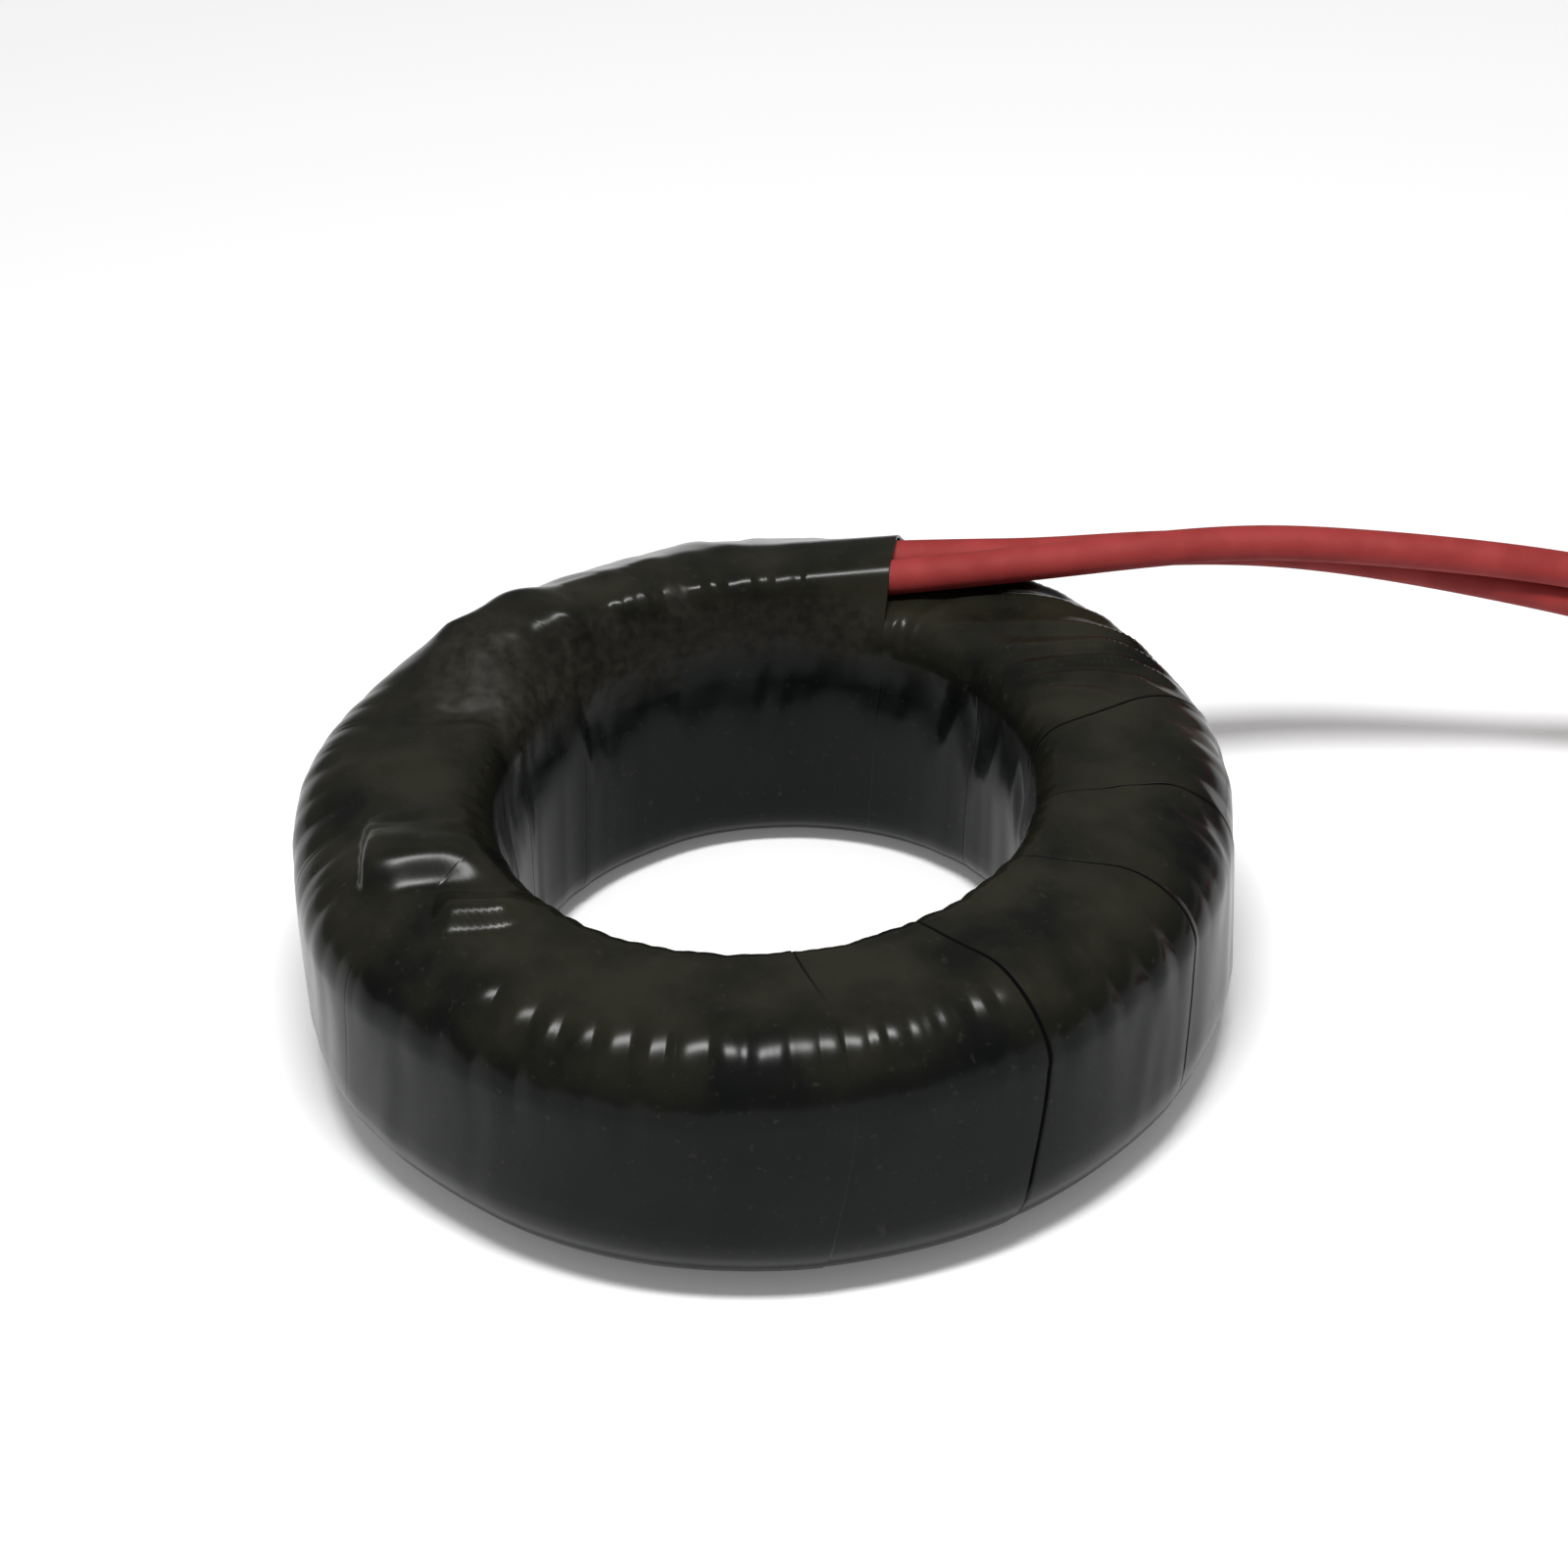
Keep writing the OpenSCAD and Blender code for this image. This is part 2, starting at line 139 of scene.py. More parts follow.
def noise(tree, scale, detail=3):
    """Noise over the object's own coordinates, with so many features to the metre."""
    place = tree.nodes.new("ShaderNodeTexCoord")
    node = tree.nodes.new("ShaderNodeTexNoise")
    node.inputs["Scale"].default_value = scale
    node.inputs["Detail"].default_value = detail
    tree.links.new(place.outputs["Object"], node.inputs["Vector"])
    return node.outputs["Fac"]


def attribute(tree, name):
    """What the mesh holds under this name at each point."""
    node = tree.nodes.new("ShaderNodeAttribute")
    node.attribute_name = name
    return node.outputs["Fac"]


def height_share(tree, low, high):
    """0 up to height low, 1 from height high."""
    place = tree.nodes.new("ShaderNodeTexCoord")
    part = tree.nodes.new("ShaderNodeSeparateXYZ")
    tree.links.new(place.outputs["Object"], part.inputs[0])
    node = tree.nodes.new("ShaderNodeMapRange")
    node.inputs["From Min"].default_value = low * MM
    node.inputs["From Max"].default_value = high * MM
    tree.links.new(part.outputs["Z"], node.inputs["Value"])
    return node.outputs["Result"]


def ramp(tree, factor, low, high, stops=NARROW_RAMP):
    """From colour low to colour high between the two stops."""
    node = tree.nodes.new("ShaderNodeValToRGB")
    for element, stop, colour in zip(node.color_ramp.elements, stops, (low, high)):
        element.position = stop
        element.color = (*colour, 1)
    tree.links.new(factor, node.inputs["Fac"])
    return node.outputs["Color"]


def spread(tree, factor, low, high):
    """From number low to number high."""
    node = tree.nodes.new("ShaderNodeMapRange")
    node.inputs["To Min"].default_value = low
    node.inputs["To Max"].default_value = high
    tree.links.new(factor, node.inputs["Value"])
    return node.outputs["Result"]


def plain(tree, colour):
    """A plain colour as a socket."""
    node = tree.nodes.new("ShaderNodeRGB")
    node.outputs[0].default_value = (*colour, 1)
    return node.outputs[0]


def mix_colour(tree, factor, low, high):
    """From the colour of socket low to the colour of socket high."""
    node = tree.nodes.new("ShaderNodeMix")
    node.data_type = "RGBA"
    tree.links.new(factor, node.inputs["Factor"])
    tree.links.new(low, node.inputs[MIX_COLOUR_A])
    tree.links.new(high, node.inputs[MIX_COLOUR_B])
    return node.outputs[MIX_COLOUR_OUT]


def mix_value(tree, factor, low, high):
    """From the value of socket low to the number high."""
    node = tree.nodes.new("ShaderNodeMix")
    tree.links.new(factor, node.inputs["Factor"])
    tree.links.new(low, node.inputs[MIX_NUMBER_A])
    node.inputs[MIX_NUMBER_B].default_value = high
    return node.outputs[MIX_NUMBER_OUT]


def bump(tree, shader, height, strength, depth):
    """Grain of this depth in the shader's surface."""
    node = tree.nodes.new("ShaderNodeBump")
    node.inputs["Strength"].default_value = strength
    node.inputs["Distance"].default_value = depth * MM
    tree.links.new(height, node.inputs["Height"])
    tree.links.new(node.outputs["Normal"], shader.inputs["Normal"])


# red of the leads, from dark to light; each noise is its scale and detail
LEAD_SHADES = ((0.27, 0.027, 0.026), (0.33, 0.038, 0.036))
LEAD_SPECULAR = 0.25
LEAD_ROUGHNESS = (0.6, 0.8)
LEAD_MOTTLE = (260, 4)
LEAD_SCUFFS = (500, 3)
LEAD_GRAIN = (2500, 2)
LEAD_GRAIN_STRENGTH = 0.3
GRAIN_DEPTH = 0.03


@cache
def lead_material():
    """Matt red PVC, a little mottled and scuffed; both leads share it."""
    m, tree, shader = material("lead_insulation", Specular_IOR_Level=LEAD_SPECULAR)
    tree.links.new(ramp(tree, noise(tree, *LEAD_MOTTLE), *LEAD_SHADES), shader.inputs["Base Color"])
    tree.links.new(spread(tree, noise(tree, *LEAD_SCUFFS), *LEAD_ROUGHNESS), shader.inputs["Roughness"])
    bump(tree, shader, noise(tree, *LEAD_GRAIN), LEAD_GRAIN_STRENGTH, GRAIN_DEPTH)
    return m


# colours of the tape, from dark to light; between the two heights the walls' turn into the top's, a painted
# lighter olive tone where light falls from above
WALL_SHADES = ((0.0024, 0.0031, 0.0034), (0.0060, 0.0070, 0.0068))
LIT_TOP_SHADES = ((0.0048, 0.0052, 0.0046), (0.0200, 0.0188, 0.0118))
CRUMPLED_SHADES = ((0.012, 0.0112, 0.0086), (0.028, 0.0258, 0.020))
DUST_COLOUR = (0.021, 0.020, 0.016)
# painted shade: near black in the gaps along the laps' edges, where shadow falls
SEAM_SHADE_COLOUR = (0.0006, 0.0006, 0.0006)
LIT_TOP_FROM = (22, 27.5)
WALL_MOTTLE = (70, 4)
TOP_MOTTLE = (110, 5)
CRUMPLED_MOTTLE = (900, 4)
DUST_GRAINS = (1100, 5)
DUST_STOPS = (0.63, 0.76)
SEAM_SHADE_STOPS = (0.1, 0.6)
TAPE_SPECULAR = 0.115
TAPE_ROUGHNESS = (0.12, 0.30)
CRUMPLED_ROUGHNESS = 0.6
SEAM_ROUGHNESS = 1
TAPE_PATCHES = (130, 4)
TAPE_GRAIN = (1500, 3)
TAPE_GRAIN_STRENGTH = 0.12


def tape_material():
    """Glossy black PVC tape: slate on the walls, painted lighter olive on top where light falls, matt where
    crumpled, painted black shade in the gaps along the laps' edges.
    """
    m, tree, shader = material("tape", Specular_IOR_Level=TAPE_SPECULAR)
    wall = ramp(tree, noise(tree, *WALL_MOTTLE), *WALL_SHADES)
    # painted light: the top is coloured lighter and warmer than the walls, as if lit from above
    top = ramp(tree, noise(tree, *TOP_MOTTLE), *LIT_TOP_SHADES)
    crumpled = ramp(tree, noise(tree, *CRUMPLED_MOTTLE), *CRUMPLED_SHADES)
    matt = attribute(tree, "matt")
    dust = ramp(tree, noise(tree, *DUST_GRAINS), BLACK, WHITE, DUST_STOPS)
    # painted shade: the gaps along the laps' edges are coloured near black and made fully rough
    seam_shade = ramp(tree, attribute(tree, "seam_shade"), BLACK, WHITE, SEAM_SHADE_STOPS)

    colour = mix_colour(tree, height_share(tree, *LIT_TOP_FROM), wall, top)
    colour = mix_colour(tree, matt, colour, crumpled)
    colour = mix_colour(tree, dust, colour, plain(tree, DUST_COLOUR))
    colour = mix_colour(tree, seam_shade, colour, plain(tree, SEAM_SHADE_COLOUR))
    tree.links.new(colour, shader.inputs["Base Color"])

    gloss = spread(tree, noise(tree, *TAPE_PATCHES), *TAPE_ROUGHNESS)
    gloss = mix_value(tree, matt, gloss, CRUMPLED_ROUGHNESS)
    gloss = mix_value(tree, seam_shade, gloss, SEAM_ROUGHNESS)
    tree.links.new(gloss, shader.inputs["Roughness"])
    bump(tree, shader, noise(tree, *TAPE_GRAIN), TAPE_GRAIN_STRENGTH, GRAIN_DEPTH)
    return m


ROUGH_SPREAD = 0.08
PATCHES_FINER = 2
GRAIN_FINER = 6
GRAIN_DETAIL = 2
GRAIN_STRENGTH = 0.3


def simple_finish(name, low, high, rough, scale, metallic=0.0, grain=GRAIN_DEPTH):
    """Mottled between two colours, of uneven roughness and with a fine grain."""
    m, tree, shader = material(name, Metallic=metallic)
    colour = ramp(tree, noise(tree, scale), low, high)
    patches = noise(tree, scale * PATCHES_FINER)
    roughness = spread(tree, patches, rough - ROUGH_SPREAD, rough + ROUGH_SPREAD)
    tree.links.new(colour, shader.inputs["Base Color"])
    tree.links.new(roughness, shader.inputs["Roughness"])
    bump(tree, shader, noise(tree, scale * GRAIN_FINER, GRAIN_DETAIL), GRAIN_STRENGTH, grain)
    return m


# ---------- pieces made of meshes ----------

EDGE_SHARP = 40
BEVEL_FROM = 50
BEVEL_STEPS = 3


def finish_mesh(name, points, faces, finish, node, sharp=EDGE_SHARP, soft_edge=0.0):
    """A piece from points in millimetres and faces, dressed and put in a CAD node's place."""
    mesh = bpy.data.meshes.new(name)
    mesh.from_pydata((np.array(points) * MM).tolist(), [], faces)
    piece = bpy.data.objects.new(name, mesh)
    bpy.context.scene.collection.objects.link(piece)
    if soft_edge:
        bevel = piece.modifiers.new("bevel", "BEVEL")
        bevel.width = soft_edge * MM
        bevel.segments = BEVEL_STEPS
        bevel.limit_method = "ANGLE"
        bevel.angle_limit = math.radians(BEVEL_FROM)
    mesh.polygons.foreach_set("use_smooth", [True] * len(mesh.polygons))
    mesh.set_sharp_from_angle(angle=math.radians(sharp))
    mesh.materials.append(finish)
    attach(piece, "root")
    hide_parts(node)
    return piece


# ---------- leads ----------

LEAD_D = 3.6
ROW = 3.7
LEAD_BEVEL_STEPS = 6
LEAD_CURVE_STEPS = 8
LEAD_CURVE_ORDER = 4

# the coil's middle and radius, where the leads come in and go out, and the angles over which each
# lead sinks and moves on to the outer turn, counted from where it comes in
COIL_AT = (128, 3)
COIL_R = 20
ENTRY_ANGLE = 90
LEAVE_ANGLE = 150
LEAVE_L = 14
COIL_STEP = 15
SINKING = 90
MOVE_OUT_AT = 330
MOVING_OUT = 60

# heights of each lead's turns in the coil and of its way in
LEVELS_1 = (5.6, 13.2)
LEVELS_2 = (1.9, 9.4)

# routes of the free leads, from the tape to the coil and from the coil to their ends
ROUTE_1 = [(12.5, 27.7, 30.3), (20, 27.2, 30.9), (28, 26.9, 31.4), (36, 27.6, 31.4), (44, 28.4, 31.2),
           (52, 28.9, 30.7), (60, 28.2, 30), (68, 27.5, 29), (76, 26.9, 27.7), (84, 26.2, 26.1),
           (92, 25.4, 23.8), (100, 24.5, 21), (108, 23.4, 17.8), (116, 22.2, 14.8), (122, 21.4, 13.4)]
ROUTE_2 = [(12.5, 31.4, 30.3), (20, 30.9, 30.3), (28, 30.3, 30), (36, 30.8, 29.7), (44, 31.4, 29.1),
           (52, 31.6, 28.2), (60, 30.6, 27.2), (68, 29.3, 25.8), (76, 28, 24.1), (84, 26.7, 22.2),
           (92, 25.5, 19.8), (100, 24.5, 16.9), (108, 23.4, 13.7), (116, 22.2, 10.8), (122, 21.4, 9.6)]
TAIL_1 = [(121, 32.6, 5.5), (127.5, 37.4, 3.6), (133.5, 41.5, 1.9), (141, 44.5, 1.9)]
TAIL_2 = [(119.5, 32, 1.9), (122.5, 38.5, 1.9), (124.5, 45, 1.9), (126, 52, 1.9)]


def coil_points(low, top):
    """One lead's way round the coil: down from the top, once round inside, once round outside."""
    points = []
    for angle in range(0, 2 * 360 + ENTRY_ANGLE - LEAVE_ANGLE + 1, COIL_STEP):
        sunk = smooth(angle / SINKING)
        out = smooth((angle - MOVE_OUT_AT) / MOVING_OUT)
        a = math.radians(ENTRY_ANGLE - angle)
        r = COIL_R - ROW / 2 + ROW * out
        points.append((COIL_AT[0] + r * math.cos(a), COIL_AT[1] + r * math.sin(a), top + (low - top) * sunk))
    return points


def leave_points(low):
    """The start of the straight way out of the coil."""
    a = math.radians(LEAVE_ANGLE)
    r = COIL_R + ROW / 2
    points = []
    for s in (LEAVE_L / 2, LEAVE_L):
        x = COIL_AT[0] + r * math.cos(a) + s * math.sin(a)
        y = COIL_AT[1] + r * math.sin(a) - s * math.cos(a)
        points.append((x, y, low))
    return points


def make_lead(name, route, levels, tail, nodes):
    """A whole lead on one smooth curve, from the tape through the coil to its bare end."""
    points = route + coil_points(*levels) + leave_points(levels[0]) + tail
    data = bpy.data.curves.new(name, "CURVE")
    data.dimensions = "3D"
    data.bevel_depth = LEAD_D / 2 * MM
    data.bevel_resolution = LEAD_BEVEL_STEPS
    data.resolution_u = LEAD_CURVE_STEPS
    data.use_fill_caps = True
    spline = data.splines.new("NURBS")
    spline.points.add(len(points) - 1)
    for place, p in zip(spline.points, points):
        place.co = (p[0] * MM, p[1] * MM, p[2] * MM, 1)
    spline.order_u = LEAD_CURVE_ORDER
    spline.use_endpoint_u = True
    lead = bpy.data.objects.new(name, data)
    bpy.context.scene.collection.objects.link(lead)
    data.materials.append(lead_material())
    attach(lead, "root")
    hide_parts(*nodes)


# ---------- outer tape: the smooth ring and the tent over the leads ----------

WINDOW_R = 25
RING_R = 45
RING_H = 28.5
OUTER_ROUND = 8
INNER_ROUND = 4.3

# the section's two upper roundings: radius and height of the middle, and the rounding itself
RIM_C = WINDOW_R + INNER_ROUND
SHOULDER_C = RING_R - OUTER_ROUND
RIM = (RIM_C, RING_H - INNER_ROUND, INNER_ROUND)
SHOULDER = (SHOULDER_C, RING_H - OUTER_ROUND, OUTER_ROUND)

# the leads under the tape: they run straight from the mouth, bend at the ring's back and run straight
# on over their joints; y, bend radius, bend and height of the outer one, and where the joints end
LEAD_BACK = 31.4
LEAD_BEND_R = 45
LEAD_BEND = 25
LEAD_Z = 30.3
BEND_Y = LEAD_BACK - LEAD_BEND_R
JOINT_END = 142

# laps: how many, where the first starts and the leads come out, how far each starts from its even
# place, how strongly its edge shows as a share, and the gap at either end of a lap
LAPS = 15
EXIT_ANGLE = 60
LAP_SHIFT = [0, 0.8, -1.2, 0.5, -0.6, 1, -1, 0.6, -0.8, -4.2, -4.2, -0.6, -4.2, -6.8, -3]
LAP_EDGE = np.array([0.12, 0.05, 0.05, 0.05, 0.06, 0.06, 0.05, 0.06, 0.05, 0.6, 1, 1, 1, 1, 0.12])
EDGE_GAP = 0.08

# the tent: its tape over the leads, how often its bends are rounded, where it fades away, the angles
# at which its section is worked out, and the steps of a taut band
COVER = 0.52
BLUNTING = 4
FADE = (139, 158)
TENT_ANGLES = np.arange(EXIT_ANGLE - 1, FADE[1] + 8.5, 0.5)
BAND_STEPS = 361

# the open mouth where the leads come out: the least gap, the tape over it and how deep it is
MOUTH_GAP = 0.6
MOUTH_T = 0.25
MOUTH_COLUMNS = 52

# columns of the skin to each lap, and how much closer they stand at its edges
LAP_COLUMNS = 76
CROWDING = 0.09

# rows of the skin round the section
FLOOR_ROWS = 5
CORNER_ROWS = 6
WALL_ROWS = 10
TAUT_ROWS = 51
OUTSIDE_ROWS = 6
FOOT_ROWS = 7
FIRST_TAUT = FLOOR_ROWS - 1 + CORNER_ROWS + WALL_ROWS - 1

# the relief goes by five places on the section: the rim, top, shoulder and outside, at these shares
# of the taut rows, and the foot
MARKS = np.array([0, 0.25, 0.53, 1])

# how far a lap's edge leans round the ring at the section's start, at those places and at its end,
# and the rows over which that is blurred
EDGE_LEAN = [9, 0, 1.5, 5.2, 6.5, 2.5, 0]
LEAN_REACH = 8
LEAN_BLUR = 3.5

SKIN_SHARP = 50
TINY = 1e-9


def taut_path(circles, count):
    """A band pulled taut over circles (r, z, radius), from straight inwards to straight outwards."""
    a = np.linspace(math.pi, 0, BAND_STEPS)
    normal = np.stack([np.cos(a), np.sin(a)], 1)
    centre = np.array([c[:2] for c in circles])
    radius = np.array([c[2] for c in circles])
    best = (normal @ centre.T + radius).argmax(1)
    points = centre[best] + radius[best, None] * normal
    length = np.concatenate([[0], np.cumsum(np.linalg.norm(np.diff(points, axis=0), axis=1))])
    t = np.linspace(0, length[-1], count)
    return np.stack([np.interp(t, length, points[:, 0]), np.interp(t, length, points[:, 1])], 1)


def crossing(e, t):
    """Radius at which a line at angle t round the ring crosses the lead of bend radius e."""
    bend = math.radians(LEAD_BEND)
    s = math.sin(math.radians(t))
    c = math.cos(math.radians(t))
    if t <= 90:
        return (e + BEND_Y) / s
    bend_end = math.degrees(math.atan2(BEND_Y + e * math.cos(bend), -e * math.sin(bend)))
    if t <= bend_end:
        return BEND_Y * s + math.sqrt(e * e - (BEND_Y * c) ** 2)
    return (e + BEND_Y * math.cos(bend)) / math.cos(math.radians(t - 90 - LEAD_BEND))


def tent_path(t):
    """The taut band at angle t, over the leads and joints that lie under it."""
    here = 1 - float(smooth((t - FADE[0]) / (FADE[1] - FADE[0])))
    flat = taut_path([RIM, SHOULDER], TAUT_ROWS)
    if here == 0:
        return flat
    half = LEAD_D / 2 / math.sin(math.radians(min(t, 90)))
    leads = [(crossing(e, min(t, JOINT_END)), LEAD_Z, half + COVER) for e in (LEAD_BEND_R - ROW, LEAD_BEND_R)]
    return flat + here * (taut_path([RIM, *leads, SHOULDER], TAUT_ROWS) - flat)


def blunted(path):
    """The path with its bends a little rounder, as thick tape lies."""
    soft = path.copy()
    for _ in range(BLUNTING):
        soft[1:-1] = (soft[:-2] + 2 * soft[1:-1] + soft[2:]) / 4
    return soft


def make_profile():
    """Rows of the plain section from the underside inwards, up the window and round to the foot."""
    return np.concatenate([
        line((SHOULDER_C, 0), (RIM_C, 0), FLOOR_ROWS)[:-1],
        arc((RIM_C, INNER_ROUND), INNER_ROUND, 270, 180, CORNER_ROWS),
        line((WINDOW_R, INNER_ROUND), (WINDOW_R, RING_H - INNER_ROUND), WALL_ROWS)[:-1],
        taut_path([RIM, SHOULDER], TAUT_ROWS),
        line((RING_R, RING_H - OUTER_ROUND), (RING_R, OUTER_ROUND), OUTSIDE_ROWS)[:-1],
        arc((SHOULDER_C, OUTER_ROUND), OUTER_ROUND, 0, -90, FOOT_ROWS)])


def place_rows(profile):
    """Where each row lies along the section, from 0 to 1, and the places that the relief goes by."""
    step = np.linalg.norm(np.diff(profile, axis=0), axis=1)
    v = np.concatenate([[0], np.cumsum(step)]) / step.sum()
    rim, top, shoulder, outside = np.interp(FIRST_TAUT + TAUT_ROWS * MARKS, np.arange(len(v)), v)
    return v, SimpleNamespace(rim=rim, top=top, shoulder=shoulder, outside=outside, foot=v[-FOOT_ROWS])


def column_angles():
    """Angle of each column at the window, the lap that it belongs to and how far along the lap it is."""
    even = np.linspace(0, 1, LAP_COLUMNS)
    fraction = even - CROWDING * np.sin(2 * np.pi * even)
    pitch = 360 / LAPS
    start = EXIT_ANGLE + np.arange(LAPS + 1) * pitch + np.array(LAP_SHIFT + [LAP_SHIFT[0]])
    within = EDGE_GAP + fraction[None, :] * (np.diff(start)[:, None] - 2 * EDGE_GAP)
    angle = (start[:-1, None] + within).ravel()
    return angle, np.repeat(np.arange(LAPS), LAP_COLUMNS), np.tile(fraction, LAPS)


def edge_lean(v, marks):
    """How far a lap's edge leans round the ring: forwards over the top, back down outside."""
    lean = np.interp(v, [0, marks.rim, marks.top, marks.shoulder, marks.outside, marks.foot, 1], EDGE_LEAN)
    reach = np.arange(-LEAN_REACH, LEAN_REACH + 1)
    weight = np.exp(-(reach / LEAN_BLUR) ** 2)
    padded = np.pad(lean, LEAN_REACH, mode="edge")
    return np.convolve(padded, weight / weight.sum(), mode="valid")


def stand_over_leads(section, theta, angle):
    """Lifts the taut rows of the sections from the last edge to where the leads' joints end."""
    tent = np.array([blunted(tent_path(t)) for t in TENT_ANGLES])
    for j in range(TAUT_ROWS):
        t = theta[:, FIRST_TAUT + j]
        inside = (angle > EXIT_ANGLE) & (t < TENT_ANGLES[-1])
        for axis in range(2):
            section[inside, FIRST_TAUT + j, axis] = np.interp(t[inside], TENT_ANGLES, tent[:, j, axis])


def outward(section):
    """Unit normals of the sections."""
    along = np.gradient(section, axis=1)
    normal = np.stack([-along[..., 1], along[..., 0]], -1)
    normal /= np.maximum(np.linalg.norm(normal, axis=-1, keepdims=True), TINY)
    top = FIRST_TAUT + TAUT_ROWS // 2
    return normal * np.sign(normal[0, top, 1])


def around(p, theta):
    """Points of sections p (r, z) that stand at the angles theta."""
    t = np.radians(theta)
    return np.stack([p[..., 0] * np.cos(t), p[..., 0] * np.sin(t), p[..., 1]], -1).reshape(-1, 3)


def strip(a, b):
    """Faces between two lines of points, each facing the way that a crossed with b - a does."""
    return np.stack([a[:-1], a[1:], b[1:], b[:-1]], -1)


def open_mouth(p, section, theta, start):
    """The hollow under the last lap where the leads come out: points from number start, and faces."""
    gap = np.linalg.norm(p[0] - p[-1], axis=-1)
    rows = np.flatnonzero(gap > MOUTH_GAP)
    first, last = rows[0], rows[-1]
    depth = slice(0, MOUTH_COLUMNS)
    side = slice(first, last + 1)
    roof = (p - MOUTH_T * outward(section))[depth, side]
    ground = np.broadcast_to(p[-1, side], roof.shape)
    points = np.concatenate([around(roof, theta[depth, side]), around(ground, theta[depth, side])])

    outer = np.arange(first, last + 1)
    before = (theta.shape[0] - 1) * theta.shape[1] + outer
    r = start + np.arange(roof.shape[0] * roof.shape[1]).reshape(roof.shape[:2])
    g = r + r.size
    faces = [strip(r[0], outer), strip(before, g[0]), strip(g[-1], r[-1]), strip(g[:, 0], r[:, 0]),
             strip(r[:, -1], g[:, -1])]
    for k in range(MOUTH_COLUMNS - 1):
        faces += [strip(r[k + 1], r[k]), strip(g[k], g[k + 1])]
    corners = [[before[0], g[0, 0], r[0, 0], outer[0]], [before[-1], outer[-1], r[0, -1], g[0, -1]]]
    faces.append(np.array(corners))
    return SimpleNamespace(first=first, last=last, points=points, faces=np.concatenate(faces))


def skin_faces(columns, rows, mouth):
    """Faces between neighbouring columns and rows, open at the mouth, and the mouth's own."""
    k, j = np.meshgrid(np.arange(columns), np.arange(rows), indexing="ij")

    def index(k, j):
        """A point's number. After the last row comes the first, one lap back, as the tape is wound on."""
        wrapped = ((k - LAP_COLUMNS) % columns) * rows
        return np.where(j >= rows, wrapped, (k % columns) * rows + np.minimum(j, rows - 1))

    faces = np.stack([index(k, j), index(k, j + 1), index(k + 1, j + 1), index(k + 1, j)], -1)
    shut = np.ones((columns, rows), bool)
    shut[-1, mouth.first:mouth.last] = False
    return np.concatenate([faces[shut], mouth.faces])


def make_tape():
    """The skin: sections stood round the ring, raised to the tent, with their relief and the mouth."""
    profile = make_profile()
    rows = len(profile)
    v, marks = place_rows(profile)
    angle, lap, fraction = column_angles()
    theta = angle[:, None] + edge_lean(v, marks)[None, :]
    section = np.broadcast_to(profile, (len(angle), rows, 2)).copy()
    stand_over_leads(section, theta, angle)

    # each point's share of the way round (u) and along the section (v), angle (t) from -180 to 180,
    # plain radius (r), lap and share of the way along it
    at = SimpleNamespace(u=angle[:, None] / 360, v=v[None, :], t=np.mod(theta + 180, 360) - 180,
                         r=profile[None, :, 0], lap=lap[:, None], fraction=fraction[:, None], marks=marks)
    height, matt, seam_shade = tape_relief(at)
    on_floor = (np.arange(rows) < FLOOR_ROWS) | (np.arange(rows) >= rows - 2)
    height[:, on_floor] = 0
    p = section + outward(section) * height[..., None]
    p[..., 1] = np.maximum(p[..., 1], 0)

    points = around(p, theta)
    mouth = open_mouth(p, section, theta, len(points))
    points = np.concatenate([points, mouth.points])
    faces = skin_faces(len(angle), rows, mouth).tolist()
    tape = finish_mesh("outer_tape_skin", points, faces, tape_material(), "outer_tape", SKIN_SHARP)
    # matt and the painted shade in the laps' edge gaps go to the mesh for the tape's finish
    for name, value in (("matt", matt), ("seam_shade", seam_shade)):
        value = np.concatenate([value.ravel(), np.zeros(len(mouth.points))])
        tape.data.attributes.new(name, "FLOAT", "POINT").data.foreach_set("value", value)
    tape.data.update()


# ---------- relief of the tape, each part in millimetres over the smooth ring ----------

# A noise is its cells round the ring and along the section, and its seed. A span is its two ends and
# the width of its fading, as for between. A line is its place and width, as for hump. Numbers above 1
# are angles, and others are shares of the section (v) or of the way across its top (across).

NOISE_GAIN = 2.2
JUST_INSIDE = 1e-6


def cubic_weights(f):
    """What each of four neighbouring cells counts for, at share f between the middle two."""
    return [(1 - f) ** 3 / 6, (3 * f**3 - 6 * f**2 + 4) / 6, (-3 * f**3 + 3 * f**2 + 3 * f + 1) / 6, f**3 / 6]


def uneven(at, cells_u, cells_v, seed):
    """Smooth noise of about unit size over the skin, with no step where the ring closes."""
    grid = np.random.default_rng(seed).standard_normal((cells_u, cells_v + 3))
    x = np.mod(at.u, 1) * cells_u
    y = np.clip(at.v, 0, 1) * (cells_v - JUST_INSIDE)
    i = np.floor(x).astype(int)
    j = np.floor(y).astype(int)
    total = 0
    for di, wi in enumerate(cubic_weights(x - i)):
        for dj, wj in enumerate(cubic_weights(y - j)):
            total = total + wi * wj * grid[(i + di) % cells_u, j + dj]
    return total * NOISE_GAIN


def across_top(at):
    """0 at the window's rim, 1 at the outside."""
    return (at.v - at.marks.rim) / (at.marks.outside - at.marks.rim)


def around_ring(at, spans):
    """1 within any of these spans of angles."""
    return sum(between(at.t, *span) for span in spans)


# laps' edges: thickness of the tape, depth and width of the groove, widths of the painted shade in the gap on
# either side, where seams begin on the section, and how faint edges get; widths are shares of a lap
EDGE_T = 0.16
GROOVE_T = 0.3
GROOVE_W = 0.012
SEAM_W = 0.016
SEAM_END_W = SEAM_W / 3
SEAM_FROM = 0.1
SEAM_FADE = 0.02
EDGE_FAINT = 0.2
EDGE_NOISE = (LAPS, 6, 21)

